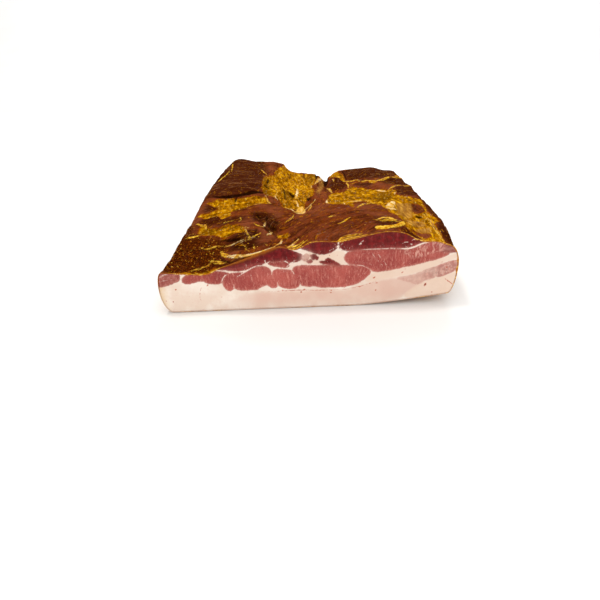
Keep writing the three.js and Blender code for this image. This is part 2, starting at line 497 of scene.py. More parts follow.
        crag = self.crag(np.full(x.shape, y), self.flank_squeeze * height)
        bulge = self.flank_calm * crag * (1 - full) * behind
        real_y = mix(self.cut_y, self.back_line(x), (y - self.cut_y) / self.length)
        way = np.concatenate([np.ones(len(top_x) - 1), -np.ones(len(under_x) - 1)])
        return np.stack([x + np.sign(x) * bulge, real_y, height], axis=1), full * way

    def crust_height(self, x: Array, y: Array) -> Array:
        """Works out the top with its rounded edges.

        Args:
            x: Across the slab.
            y: Along the slab.

        Returns:
            Its heights.
        """
        straight = self.cut_y + (y - self.cut_y) / (self.back_line(x) - self.cut_y) * self.length
        straight = np.minimum(straight, self.back_y)
        left, right = self.flanks(straight)
        shoulder = mix(self.left_shoulder_at_cut, self.left_shoulder, self.behind_corner(straight))
        edge = np.minimum((x - left) / shoulder, (right - x) / self.right_shoulder)
        full = np.sqrt(np.clip(1 - (1 - np.clip(edge, 0, 1)) ** 2, 0, 1))
        sunk = self.top(x, straight) - self.rim_sink * self.rounding(straight)
        return mix(self.waist(x), sunk, full)


class Tissue(Enum):
    """What a mark on the crust is made of, or its painted shade or darker tone. The value is its
    attribute's name.
    """

    FAT = "fat"
    LEAN = "lean_island"
    STRAND = "strand"
    CREAM = "cream"
    CREASE = "crease"
    HOLLOW = "hollow"
    TAN = "tan"
    SHADE = "shade"
    GRANULES = "granules"


FAT_MARKS: Marks = (
    # The fan.
    Patch(((-37, 2), (-40, 20), (-41, 56), (-34, 56), (-31, 61), (-31, 72), (-28, 86), (-23, 95),
           (-22, 120), (14, 120), (14, 96), (9, 66), (8, 52), (5, 42), (8, 28), (7, 14), (2, 3), (0, -8),
           (-1, -30), (-1, -64), (-5, -60), (-8, -50), (-13, -40), (-19, -33), (-20, -20), (-23, -8),
           (-29, 2))),
    # The patches before the back and the left muscle.
    Patch(((-81, -3), (-70, 1), (-55, 1), (-42, 0), (-35, -2), (-31, -14), (-29, -23), (-36, -21),
           (-52, -31), (-61, -32), (-60, -41), (-58, -48), (-62, -54), (-65, -57), (-67, -50), (-72, -48),
           (-79, -52), (-84, -39), (-89, -37), (-90, -20), (-86, -8))),
    Patch(((-79, -60), (-75, -66), (-69, -68), (-60, -65), (-54, -65), (-48, -67), (-46, -72), (-42, -90),
           (-50, -86), (-57, -90), (-62, -86), (-66, -81), (-78, -81), (-81, -70))),
    # The patch behind the centre muscle.
    Patch(((20, 1), (19, -20), (16.5, -30), (15.5, -43), (18, -47), (24, -50), (30, -50), (35, -64),
           (37, -57), (36, -45), (38, -29), (49, -27), (50, -38), (46, -43), (54, -41), (57, -47),
           (58, -56), (61, -60), (60, -67), (64, -71), (67, -78), (69, -90), (66, -98), (70, -102),
           (76, -120), (90, -120), (89, -82), (96, -82), (91, -66), (91, -50), (96, -14), (78, -13),
           (77, -2), (80, 6), (70, 3), (62, 5), (57, 4), (50, 10), (42, 11), (41, 20), (38, 8), (33, 2),
           (24, 3))),
    # The strip beside the back right muscle, three tongues before it, and the right shoulder.
    Patch(((25, 120), (36, 120), (34, 96), (38.5, 78), (38, 44), (34, 45), (34, 58), (28, 75), (28, 85),
           (25, 92))),
    Patch(((42, 24), (41, 31), (46, 45), (50, 45), (45, 24))),
    Patch(((51, 26), (53, 44), (57, 46), (56, 34), (54, 26))),
    Patch(((58, 26), (59, 45), (66, 46), (68, 38), (65, 21), (61, 20))),
    Patch(((88, 61), (92, 78), (96, 78), (98, 66), (94, 63))),
    # The fringe in the left corner, and the fat in the fold.
    Patch(((-90, -118), (-86, -114.4), (-74, -113.6), (-61, -111), (-60, -118))),
    Patch(((-21, -87), (-20, -96), (-17, -102), (-12, -102), (-11, -94), (-14, -94), (-16, -98),
           (-19, -93)), 0.8),
)

LEAN_MARKS: Marks = (
    # The wedge and the scrap beside it, the back edge of the fan, and two scraps on the right.
    Patch(((-98, -9), (-86, -8), (-78, -12), (-72, -22), (-74, -31), (-84, -35), (-98, -33))),
    Patch(((-47, -13), (-42, -11), (-40, -16), (-44, -21), (-48, -17))),
    Patch(((-6, 120), (-6, 104), (0, 100), (3, 120))),
    Patch(((82, -36), (90, -38), (90, -60), (84, -62), (80, -50))),
    Patch(((70, -95), (75, -101), (84, -99), (80, -110), (74, -108))),
)

STRAND_MARKS: Marks = (
    # The second crescent, the seam before the back right muscle, and the first crescent.
    Patch(((65, -87), (68.6, -87), (67.8, -96), (58, -109), (53, -111), (48, -109.6), (44.6, -106.4),
           (46, -103.4), (52, -106.6), (56, -106), (60.6, -101.6), (64, -95)), 0.9),
    Trace(((36, 44), (45, 46), (48, 50), (51, 47), (55, 46), (60, 47), (68, 47), (72, 49), (78, 53),
           (83, 59), (88, 61), (91, 65), (98, 69)), 1.3, 0.8),
    Trace(((48.6, -84), (51, -81.6), (54, -80), (58, -79.6), (62, -81), (65, -83), (67.6, -87)), 1.5, 0.9),
    # Seams and strands from the centre muscle to the back.
    Trace(((38, -64), (42, -56), (45, -47), (48, -42), (54, -42)), 1.0, 0.5),
    Trace(((-88, 20), (-83, 38), (-79, 50), (-76, 68)), 0.5),
    Trace(((-74, 66), (-75, 84), (-80, 112)), 0.6),
    Trace(((72, 3), (77, 10), (81, 17), (86, 20), (92, 20), (98, 26)), 1.0, 0.4),
    Trace(((40, 46), (38, 34), (39, 24), (38, 12)), 0.7),
    Trace(((-45, 75), (-38, 58)), 0.8, 0.4),
    Trace(((-97, 0), (-96, -14), (-94, -28), (-90, -38)), 0.5),
    # Round the left muscle.
    Trace(((-84, -58), (-80, -62), (-76, -62), (-75, -68)), 1.0, 0.5),
    Trace(((-88, -83), (-82, -83), (-76, -81)), 0.8),
    Trace(((-75, -93), (-70, -95.6), (-63, -94), (-58, -95)), 0.6, 0.2),
    # Round the front bump.
    Trace(((-42, -96), (-36, -95), (-31, -91)), 0.5),
    Trace(((-45, -74), (-41, -92), (-38, -95)), 0.6, 0.4),
    Trace(((-39, -66), (-36, -71.6), (-31, -72.4)), 0.5),
    Trace(((-41.4, -101), (-40.4, -106), (-38, -110)), 0.5),
    Trace(((-36, -100), (-35, -106), (-32, -111)), 0.5),
    Trace(((-28, -103), (-26, -109)), 0.4),
    Trace(((-50, -57), (-48.6, -61)), 0.4),
    Trace(((-62, -63), (-55, -61), (-50, -62)), 0.4, 0.3),
    # The squiggle, beside the tip and the cleft, and along the right.
    Trace(((-9, -66), (-11, -71), (-15, -76)), 0.9, 0.5),
    Trace(((2, -60), (4, -54), (4, -44)), 0.7, 0.3),
    Trace(((20, 36), (23, 3)), 0.9, 0.3),
    Trace(((87, -64), (88, -80), (88, -100), (89, -118)), 0.9, 0.4),
    Trace(((97, -60), (99, -20), (99, 30), (97, 80)), 0.5),
    # In the centre and the back right muscle, and along the left corner.
    Trace(((22, -92), (26, -90), (31, -85)), 0.7, 0.3),
    Trace(((16, -80), (19, -77), (22, -78)), 0.7, 0.3),
    Trace(((70, 66), (73, 67)), 0.7, 0.3),
    Trace(((-99, -112), (-97, -90), (-97, -60), (-98, -30)), 0.6),
    # Before the lip.
    Trace(((-59, -100), (-56, -105.6), (-51, -108.6)), 1.2, 0.4),
    Trace(((-66, -104), (-60, -109), (-54, -111)), 1.0, 0.6),
    Trace(((-78, -112), (-66, -106)), 0.8, 0.4),
    # At the cut, and beside the fold.
    Trace(((20.6, -116), (22, -112.6), (26, -110), (31, -109.4), (36, -110.6)), 1.1, 0.5),
    Trace(((22, -116), (27, -113.6), (34, -113.4), (42, -114.6)), 0.7, 0.3),
    Trace(((-12, -115), (-2, -107.6)), 0.9, 0.6),
    Trace(((-9, -115.6), (-4, -113.4), (1, -109)), 0.7, 0.5),
)

CREAM_MARKS: Marks = (
    # The cream patch, the tip of the fan and its three arms.
    Patch(((68, -31), (72.5, -31), (69, -48), (66, -55), (69, -57), (67, -60), (59, -59), (64, -41)), 0.7),
    Patch(((-5.4, -30), (-3.4, -31), (-1.6, -48), (0.6, -64), (-3, -67), (-8.4, -62), (-6.4, -48))),
    Trace(((-5, -38), (-7, -20), (-11, -4)), 0.7),
    Trace(((-7, -60), (-12, -44), (-18, -28)), 0.5),
    Trace(((-1, -60), (3, -44), (8, -30)), 0.5),
    # The lip, and lines round the front bump.
    Trace(((-56, -105.6), (-52, -108.4), (-46, -110.4), (-40, -113), (-34, -114.6),
           (-20, -114.6)), 1.0, 0.6),
    Trace(((-46, -70), (-42, -71.6)), 0.5),
    Trace(((-35, -72), (-30.4, -72.8)), 0.5),
    Trace(((-57, -96), (-50, -96.4), (-44, -95.4), (-38, -96.8), (-34.6, -95)), 0.35),
    Trace(((-45.6, -97), (-43, -99), (-41, -101.4)), 0.35),
    # In and beside the fan.
    Trace(((-9, 42), (-8, 30), (-9, 12), (-9, 0)), 1.2),
    Trace(((17, 114), (16, 100), (13.5, 88), (12.5, 75), (10, 62), (8.5, 50)), 1.0),
    Trace(((5.5, 48), (5, 35)), 0.7),
    Trace(((-35, 0), (-32, -14), (-29, -22)), 0.7),
    Trace(((-26, 12), (-27, 0), (-24, -10)), 0.6),
    # In the patch behind the centre muscle, and behind it.
    Trace(((18.5, -20), (17, -32), (16.5, -43)), 0.7),
    Trace(((25, -16), (24, -30), (25, -45)), 0.5),
    Trace(((31, -26), (31, -38), (30, -49)), 0.5),
    Trace(((33, -26), (41, -25), (50, -26)), 0.6),
    Trace(((19, -2), (24, -4), (29, -3)), 0.9),
    Trace(((62, 4), (66, 1), (70, 2)), 1.1),
    Trace(((79, 1), (76.6, -4), (76, -8)), 0.7),
    # In the bump, the fold and the pits, and on the right flank.
    Trace(((26.5, 62), (27.5, 52), (26.5, 43)), 0.6),
    Trace(((-27, -76), (-24, -84), (-27, -93)), 0.7),
    Trace(((-16, -102), (-17, -109), (-21, -115)), 0.8, 0.4),
    Trace(((-5, -103), (-9, -109), (-12, -115)), 0.8, 0.4),
    Trace(((-31, -60), (-30.5, -68), (-31, -71)), 0.5),
    Trace(((97, -66), (97.5, -78)), 0.6),
)

TAN_MARKS: Marks = (
    # In the cleft, on the right, beside the cream patch, at the cut and behind the fan.
    Patch(((16, 118), (19.5, 118), (17.5, 66), (14, 26), (13, -8), (9, -8), (8, 16), (11, 34),
           (15, 75)), 0.4),
    Patch(((70, -86), (72, -74), (77, -71), (84, -74), (84, -86), (78, -88))),
    Patch(((74, -97), (77, -89), (84, -89), (86, -96), (80, -100))),
    Patch(((72, -32), (84, -34), (82, -48), (78, -66), (70, -74), (67, -64), (71, -48))),
    Patch(((20, -118), (22, -113), (28, -110), (36, -111), (40, -118))),
    Patch(((-44, -10), (-38, -8), (-36, -18), (-40, -24), (-44, -22))),
)

# Grooves in the crust, whose near-black colour is painted shade.
SHADED_CREASE_MARKS: Marks = (
    # The foot of the back muscle, with the painted shadow under its edge.
    Trace(((-96, 0), (-80, 1.5), (-66, 2), (-48, 4), (-38, 4)), 1.1, -1.8),
    Trace(((-54, 5), (-46, 6.5), (-38, 6)), 2.4, -0.9),
    # The slit, the gap between the crescents, the pits and the fold.
    Trace(((51, -86), (54, -84), (58, -83.4), (63, -85.6)), 1.5, -1.3),
    Trace(((54, -96), (57, -99), (60.6, -95)), 1.2, -0.6),
    Trace(((-38, -47), (-36, -52), (-33, -51)), 1.0, -0.9),
    Trace(((-31, -52), (-30, -58)), 1.0, -0.8),
    Trace(((-30, -62), (-22, -82), (-20, -88)), 0.6, -0.8),
    Trace(((-24, -66), (-20, -76)), 0.7, -0.6),
    # In the fan.
    Trace(((-21, 32), (-19, 22), (-18, 12)), 0.7, -0.5),
    Trace(((-18, 32), (-13, 24), (-11.6, 12), (-12, 2)), 1.2, -0.9),
    Trace(((-36, 48), (-35.5, 32)), 1.1, -0.8),
    Trace(((-38, 26), (-33, 20)), 1.0, -0.7),
    # The edge of the back right muscle, and the cleft.
    Trace(((38.5, 100), (39.5, 80), (39.5, 48)), 0.8, -0.6),
    Trace(((13, 116), (11, 84)), 1.6, -1.0),
    Trace(((22, 116), (20, 74)), 2.0, -1.4),
    Trace(((26, 88), (27.5, 80), (30, 70)), 0.9, -0.7),
    Trace(((2, 4), (3, -4), (5, -12)), 1.6, -1.4),
    # Round the front bump, and under the lip.
    Trace(((-60, -90), (-52, -93), (-44, -95)), 1.2, -1.2),
    Trace(((-59, -105), (-55, -110.4), (-49, -113)), 0.7, -0.6),
    Trace(((-50, -66), (-46, -79), (-44, -90)), 0.5, -0.4),
    Trace(((-37, -62), (-33, -69), (-28.6, -74), (-26, -84)), 0.5, -0.4),
    Trace(((-36, -76), (-34, -86), (-36, -94)), 0.5, -0.3),
    Trace(((-52, -98), (-46, -100), (-38, -102), (-32, -100)), 0.5, -0.4),
    # Spots on the right, behind the tongues and in the patch on the left.
    Trace(((82, -62), (84, -68)), 1.3, -0.8),
    Trace(((56, 45), (64, 44.5)), 1.2, -0.8),
    Trace(((-62, -4), (-61.5, 1)), 1.0, -0.6),
)

# Olive darkening of the fat: painted shade in the pit and the hollows, a darker tone in the left patch.
HOLLOW_MARKS: Marks = (
    # The pit and the two sides of the fan.
    Patch(((-23, 32), (-17, 31), (-12, 24), (-11, 8), (-14, -4), (-17, 6), (-20, 20))),
    Patch(((-41, 2), (-41, 50), (-36, 52), (-33, 30), (-33, 4))),
    Patch(((2, 100), (2, 60), (7, 60), (11, 90), (11, 104))),
    # Before the small muscle, in the left patch, and before the bump.
    Patch(((56, -8), (58, -26), (64, -30), (70, -22), (76, -12), (70, -4))),
    Patch(((-78, -66), (-68, -67), (-66, -80), (-80, -81))),
    Patch(((30, -14), (36, -26), (30, -26), (26, -18))),
)

# Darker patches: mostly the darker smoked tone of some muscles, and painted shade over the pits and under
# the lip.
SHADE_MARKS: Marks = (
    # The back muscle, the left corner, and the muscle between the crescents.
    Patch(((-102, 2), (-100, 118), (-45, 118), (-38, 60), (-38, 8), (-60, 3))),
    Patch(((-104, -30), (-104, -118), (-66, -118), (-60, -96), (-78, -84), (-88, -60))),
    Patch(((48, -82), (47, -103), (52, -106), (57, -105), (64, -95), (66, -84), (60, -81))),
    # The wedge, the left muscle, the front bump, and the pits, where the darkening is painted shade.
    Patch(((-85, -6), (-76, -8), (-72, -20), (-72, -32), (-84, -36))),
    Patch(((-84, -42), (-70, -50), (-52, -54), (-46, -60), (-60, -64), (-80, -64))),
    Patch(((-54, -97), (-46, -84), (-38, -84), (-30, -92), (-36, -104), (-50, -106))),
    Patch(((-42, -44), (-28, -44), (-20, -70), (-18, -86), (-26, -86), (-32, -66), (-42, -58))),
    # Under the lip, where the darkening is painted shade, before the crescents, the right corner and the
    # right flank.
    Patch(((-62, -108), (-54, -111), (-46, -113), (-32, -115.2), (-30, -119), (-62, -119))),
    Patch(((62, -118), (66, -102), (71, -101), (72, -118))),
    Patch(((90, -118), (90, -84), (104, -60), (104, -118))),
    Patch(((91, -60), (94, -86), (104, -86), (104, 60), (95, 60), (95, 0))),
    # Beside the small muscle, the right lobe, and before the tongues.
    Patch(((78, 12), (86, 18), (98, 22), (98, -12), (79, -10))),
    Patch(((70, 26), (70, 44), (80, 54), (92, 62), (100, 66), (100, 28), (78, 18))),
    Patch(((42, 24), (60, 24), (60, 14), (46, 12))),
    # The bump beside the cleft, and the back right muscle.
    Patch(((21, 6), (24, 34), (22, 60), (34, 60), (38, 40), (38, 10))),
    Patch(((40, 50), (52, 52), (74, 54), (100, 76), (100, 118), (40, 118))),
)

GRANULE_MARKS: Marks = (
    # The left corner and the left flank.
    Patch(((-98, -116), (-97, -96), (-90, -84), (-76, -84), (-64, -88), (-58, -92), (-56, -100),
           (-60, -108), (-70, -116))),
    Patch(((-98, -40), (-94, -84), (-86, -84), (-88, -60), (-92, -40))),
)

CRUST_MARKS: dict[Tissue, Marks] = {
    Tissue.FAT: FAT_MARKS, Tissue.LEAN: LEAN_MARKS, Tissue.STRAND: STRAND_MARKS, Tissue.CREAM: CREAM_MARKS,
    Tissue.TAN: TAN_MARKS, Tissue.CREASE: SHADED_CREASE_MARKS, Tissue.HOLLOW: HOLLOW_MARKS,
    Tissue.SHADE: SHADE_MARKS, Tissue.GRANULES: GRANULE_MARKS,
}

MUSCLE_LINES: tuple[Points, ...] = (
    ((-90, 20), (-60, 26), (-30, 30)),
    ((-84, 100), (-60, 96), (-24, 100)),
    ((-88, -58), (-60, -48), (-34, -42), (-10, -50)),
    ((-60, -84), (-44, -80), (-30, -90)),
    ((-60, -108), (-44, -100), (-28, -104)),
    ((-20, -110), (0, -92), (30, -74), (70, -62)),
    ((-16, -84), (0, -64), (14, -40), (14, 10)),
    ((20, -112), (44, -92), (70, -84)),
    ((-30, 116), (-20, 60), (-6, 10), (-4, -60)),
    ((28, 110), (28, 60), (26, 6)),
    ((40, 60), (64, 84), (92, 100)),
    ((40, 12), (64, 30), (96, 40)),
    ((24, -8), (40, -16), (64, -14), (92, 2)),
    ((74, -30), (80, -70), (80, -112)),
)


class Cut(Enum):
    """What a mark on the cut face is. The value is its attribute's name."""

    LEAN = "cut_lean"
    PINK = "cut_pink"
    SINEW = "cut_sinew"
    SPECK = "cut_speck"
    FEATHER = "cut_feather"
    CREAM = "cut_cream"


@dataclass(frozen=True)
class Muscle:
    """A muscle on the cut face: its outline, and how deep a red, how grey and how faint it is."""

    outline: Points
    red: float = 0.0
    grey: float = 0.0
    faint: float = 0.0


MUSCLES: tuple[Muscle, ...] = (
    # The left lobes, the small lobe and the fourth lobe.
    Muscle(((-57.3, 20.4), (-56.8, 23.8), (-54.6, 26.4), (-51.4, 28), (-46, 28.2), (-40.5, 29), (-36, 31.2),
            (-32, 32), (-28, 32), (-25.2, 30.6), (-23.9, 27.6), (-23.4, 24), (-24.4, 21), (-29.6, 17.4),
            (-33.2, 16.6), (-34, 15.3), (-43.4, 14.9), (-48, 15.8), (-50, 17.4), (-51, 15.9), (-53, 15.1),
            (-55.6, 16.2))),
    Muscle(((-27.4, 20), (-26.4, 17.4), (-24, 15.9), (-21.6, 16), (-20.4, 18.2), (-20.8, 21.6), (-23, 23.6),
            (-26, 22.6))),
    Muscle(((-20.3, 19.6), (-19.2, 17), (-15, 15.1), (-10, 14.8), (-6.6, 15.9), (-5.2, 18.2), (-5, 26),
            (-9, 28.2), (-20, 29.8), (-22.8, 28.6), (-23.3, 25), (-22.8, 22))),
    # The main muscle.
    Muscle(((-9.6, 26), (-9.6, 29.4), (-7, 31.2), (-2, 31.6), (20, 30.2), (32, 30.2), (36.6, 29.5),
            (39.6, 27.8), (42, 25.6), (41.2, 23.4), (36, 18.2), (29.4, 15.3), (19, 14.4), (13.6, 14.8),
            (9.4, 14.4), (4.4, 16.5), (1.6, 15.9), (-2, 16.3), (-5.2, 17.6))),
    # The long right muscle and its right end.
    Muscle(((24.3, 35.4), (25.9, 38.8), (28.7, 40.1), (38, 40.6), (59.4, 40.3), (65, 39.4), (69.4, 40.8),
            (73.7, 43), (78.7, 44.2), (84, 44.6), (85.4, 40), (88, 36.4), (93, 35.6), (85.9, 32.2),
            (58.7, 26.4), (48, 24.8), (44, 25), (39.4, 28.3), (36.6, 29.7), (28.7, 30.8),
            (25.9, 32.5)), 0.08),
    Muscle(((84, 45.4), (90, 44.6), (96, 41), (98, 37), (93, 36), (87, 36.6), (83, 39.6)), 0.8, 0.3),
    # The deep muscle and the flesh under it.
    Muscle(((-34, 34), (-37, 41.6), (-24, 47), (-18, 48), (-5.4, 40.5), (-2.6, 39.2), (-3.3, 36.3),
            (-5.4, 34.8), (-9, 34), (-14, 35), (-20, 35.4), (-26, 35), (-30, 34.2)), 1.0),
    Muscle(((-27, 34.2), (-23, 35), (-11.6, 34.4), (-11.4, 32.6), (-12.6, 30.8), (-15.4, 30.7),
            (-21.1, 31.9)), 0.25),
    # Its left end and the flesh under that.
    Muscle(((-60.6, 32), (-58.6, 35), (-46, 40), (-37, 42), (-30, 37), (-32, 34.6), (-38, 32.8),
            (-46, 31.2), (-54, 30.8), (-59.4, 31.2)), 0.95),
    Muscle(((-50, 31), (-42, 32.4), (-36, 34), (-31, 34.6), (-29, 33.4), (-33, 33.2), (-36.4, 31.8),
            (-40, 29.6), (-44, 29.1), (-55, 30.6)), 0.6),
    # The upper and the right deep muscle.
    Muscle(((-5.8, 44.6), (2, 50), (10, 51), (18.6, 50), (20.2, 47.6), (20, 44.4), (19, 42), (15.1, 39.7),
            (12.3, 39.1), (8.7, 39.1), (5.1, 39.9), (2.8, 41.3)), 0.95),
    Muscle(((20.8, 44), (21, 48.6), (24, 50), (30, 51), (46, 55), (54, 55.6), (60, 55), (66, 53),
            (72, 48.6), (78, 46), (77.4, 45.1), (73.6, 44), (69.4, 42.2), (65, 40.8), (38, 41.3),
            (31, 40.6), (25, 40.7), (22, 41.8)), 0.95),
    # The flat left muscle, and the left corner with its top.
    Muscle(((-84.4, 23), (-83.8, 25.4), (-82, 27.2), (-79.6, 28.8), (-76, 30), (-60, 30), (-51.4, 28.6),
            (-54.4, 27), (-57.2, 24.2), (-58.2, 21.4), (-61.1, 20.5), (-65.4, 21), (-68.3, 22),
            (-70.8, 23.8), (-76.9, 22.6), (-79, 21.7), (-82.6, 21.8)), 0.32),
    Muscle(((-104, 26), (-100, 26), (-95, 28.6), (-90, 29.8), (-86.2, 29.6), (-85.2, 27.4), (-86.6, 24),
            (-90, 22.8), (-95, 21), (-99.7, 20), (-104, 20)), 0.5, 0.2),
    Muscle(((-104, 27), (-100, 27.4), (-95, 29.8), (-91, 30.6), (-94, 34), (-104, 34)), 0.65, 0.2),
    # The thin right muscle, its left end and its pale tail.
    Muscle(((84.4, 26.4), (88, 28.4), (100, 31.4), (100, 24.6), (89, 19.4), (84.4, 19.2)), 0.0, 0.6, 0.1),
    Muscle(((75, 23.3), (78, 24.4), (84.6, 26.8), (87, 24), (85, 19), (80, 17.4),
            (76, 17)), 0.0, 0.5, 0.42),
    Muscle(((58, 19.6), (66, 20.4), (71, 21.4), (76, 23.6), (78, 20), (77, 15.6), (73, 14),
            (66, 17)), 0.0, 0.55, 0.66),
    # Two scraps in the middle, the wedge beside them, and a lilac scrap.
    Muscle(((1.8, 38.8), (3.4, 38.4), (4.8, 39.4), (6.2, 38), (8, 37), (7, 35), (5.4, 36), (4.2, 35),
            (3.4, 36.6)), 1.0),
    Muscle(((-1, 34.8), (1, 34.8), (2.6, 35.8), (4, 34.2), (1.6, 32.8)), 1.0),
    Muscle(((7.6, 33.4), (10.6, 34.2), (11.8, 33.4), (13, 35.8), (15.2, 35.8), (16, 34.2), (17.8, 34.2),
            (19, 32.6), (22.4, 30.7), (21, 29.7), (17, 31.2), (14, 31.4), (11, 32.2)), 1.0),
    Muscle(((-3, 35.6), (-2.4, 38), (0, 39.8), (1.6, 38), (1.2, 36), (-1, 35)), 0, 1, 0.5),
)

PINK_MARKS: Marks = (
    # The pink layer.
    Patch(((-50, 9.6), (-42, 12.6), (-20, 13.2), (0, 12.9), (14, 12.3), (24, 12.3), (30, 13.3), (38, 15.2),
           (45, 17.6), (51, 18.8), (60, 19.8), (72, 21.6), (82, 24), (84, 18.4), (80, 16.6), (76, 14.2),
           (70, 10.4), (64, 5.6), (60, 2), (50, -2), (30, -4), (-78, -4), (-66, 1.6), (-57, 5))),
)

SINEW_MARKS: Marks = (
    # Round the left lobes.
    Trace(((-57.9, 21), (-57.1, 24.2), (-54.9, 26.9), (-51, 28.7)), 0.3),
    Trace(((-58, 30.2), (-52, 29), (-46, 28.7), (-42, 29), (-38.6, 30), (-35.6, 31.9), (-32, 32.9),
           (-28.4, 33.2)), 0.42),
    Trace(((-47, 25), (-44, 27), (-41, 28.6), (-38, 29.8)), 0.3),
    # The first star, and the seams beside it.
    Trace(((-27, 33.9), (-26, 33.5)), 0.7),
    Trace(((-26.8, 34), (-27.4, 36.6)), 0.3),
    Trace(((-26.2, 34), (-24, 36)), 0.25),
    Trace(((-26.4, 33.4), (-24.6, 31.6), (-22, 30.5), (-18.6, 30.4), (-15.4, 29.8), (-11.8, 29.5),
           (-10.2, 28.8)), 0.42),
    Trace(((-23.9, 31), (-23.4, 28.6), (-23.7, 25.8)), 0.3),
    # The second star and its points.
    Trace(((-11.6, 33), (-11, 32.4)), 0.65),
    Trace(((-15.6, 35.4), (-13.6, 35), (-11.6, 33)), 0.32),
    Trace(((-11.2, 33), (-7.8, 35.2)), 0.3),
    Trace(((-11.2, 32.6), (-10.4, 30), (-10, 27.6), (-8.6, 24.8)), 0.32),
    Trace(((-11.6, 32.4), (-13.6, 31)), 0.25),
    Trace(((-11, 32.8), (-2, 34)), 0.6),
    # Over the deep and the main muscle.
    Trace(((-13, 45.4), (-9, 43.1), (-5, 41.5), (-1, 41.2), (2, 40.4)), 0.72),
    Trace(((-9, 31.9), (-4, 32.5), (2, 32.3), (9, 31.4)), 0.45),
    Trace(((21.6, 30.3), (32.3, 30.2), (36.6, 29.6), (39.4, 28), (42.6, 25.4)), 0.2),
    # The star between the deep muscles and its points.
    Trace(((20.2, 43.8), (20.9, 43.4)), 0.6),
    Trace(((20.6, 44), (20.9, 49)), 0.42),
    Trace(((20, 44), (18.6, 45.2), (16.8, 46.2)), 0.22),
    Trace(((20, 43.4), (14.8, 41)), 0.25),
    Trace(((20.8, 43.2), (22, 41.9), (25, 40.4)), 0.4),
    Trace(((20.8, 43.8), (23.6, 45.8)), 0.22),
    # Under the right deep muscle.
    Trace(((36, 41), (42, 41), (58.7, 40.6), (65, 40.2), (69.4, 41.6), (73.7, 43.6), (78, 44.8),
           (84, 44.8)), 0.26),
    Trace(((60, 40.5), (65, 40), (69.4, 41.2), (73.7, 43.2), (80, 44.6)), 0.55),
    # Slashes and flecks in the right deep muscle, and a streak in the left corner.
    Trace(((34.3, 44.6), (35.4, 46), (36.8, 47.1)), 0.26),
    Trace(((33.2, 44.2), (35.2, 44.6)), 0.18),
    Trace(((61.6, 43.8), (63.4, 44.9), (65.4, 44.4)), 0.26),
    Trace(((66, 43.6), (68, 42.8)), 0.26),
    Trace(((67.4, 45.6), (69, 46.6), (70.4, 45.8)), 0.26),
    Trace(((-101, 23.6), (-96, 24.8), (-91, 25)), 0.16),
    # The edge of the flat left muscle, and the gaps between the lobes.
    Trace(((-85.4, 24), (-83.8, 26.8), (-79.4, 29.8)), 0.28),
    Trace(((-50.1, 14), (-50.2, 16.6), (-49.9, 19.4)), 0.26),
    Trace(((-20.3, 14.6), (-20.3, 17.6), (-20.5, 20.4)), 0.26),
    Trace(((-5.3, 15), (-5.2, 18.4)), 0.26),
    # Scratches.
    Trace(((41.6, 39), (46, 33), (50, 28.6)), 0.13),
    Trace(((46.4, 37), (50.6, 31), (54, 27)), 0.13),
    Trace(((-38, 28), (-37.4, 24), (-38.4, 20)), 0.12),
)

SPECKS = (
    # Blood spots in the fat: x, z, reach, slope and half width.
    (78.1, 12.7, 0.7, 2.8, 0.7), (83.1, 7.8, 0.7, 0, 0.42), (91.3, 25.8, 0.6, 0, 0.5),
    (45.3, 10.6, 0.6, 1.2, 0.45), (14.8, 10.4, 0.9, 0.2, 0.45), (15.6, 12, 0.4, 1, 0.3),
    (45.6, 16.3, 1, 0.4, 0.4), (43.5, 20, 1.3, 0.8, 0.42), (62.2, 23.2, 1, 0.6, 0.42),
    (34.4, 13.9, 0.9, 0.3, 0.32), (-90, 17.4, 0.5, 0.9, 0.65), (-68.3, 19.3, 1.5, 1, 0.32),
    (-93.6, 8.2, 0.5, 0, 0.42), (-98.4, 9.2, 0.5, 0, 0.4), (-5.3, 11.9, 0.9, 0, 0.5),
    (-17.8, 13.8, 0.9, 0, 0.36), (-2.9, 13.9, 0.7, 0, 0.32), (-59.6, 10.3, 0.6, 0, 0.32),
    (-65.2, 3.4, 0.5, 0, 0.32), (64, 25.6, 0.7, 0.6, 0.3), (87.6, 29.6, 0.9, 0.3, 0.3),
    (95, 29.4, 0.6, 0.3, 0.3), (19.6, 37.6, 0.5, 1, 0.3), (14.6, 38.2, 0.8, 0, 0.32),
    (51, 28, 0.5, 0, 0.25), (24, 14, 0.9, 0, 0.35),
)

SPECK_MARKS: Marks = (
    *(Trace(((x, z), (x + reach, z + reach * slope)), half) for x, z, reach, slope, half in SPECKS),
    # The crack, and the lines in the fat.
    Trace(((90.6, 18.2), (93.8, 15.4), (97.4, 12.6)), 0.26),
    Trace(((-32, 13.1), (-20, 13), (-8, 13.6), (8, 12.6), (20, 12.4)), 0.17),
    Trace(((20, 12.4), (27, 12.8), (34, 14.2), (40, 15.8), (46, 17.8)), 0.15),
    Trace(((-71.4, 20), (-73.4, 16), (-74.6, 11), (-74, 8)), 0.06),
)

FEATHER_MARKS: Marks = (
    # The feathered end of the long muscle.
    Patch(((60, 40.6), (66, 40), (75, 44), (82, 45.4), (90, 44.6), (90, 38.4), (84, 36), (70, 32.4),
           (65, 34.6))),
)

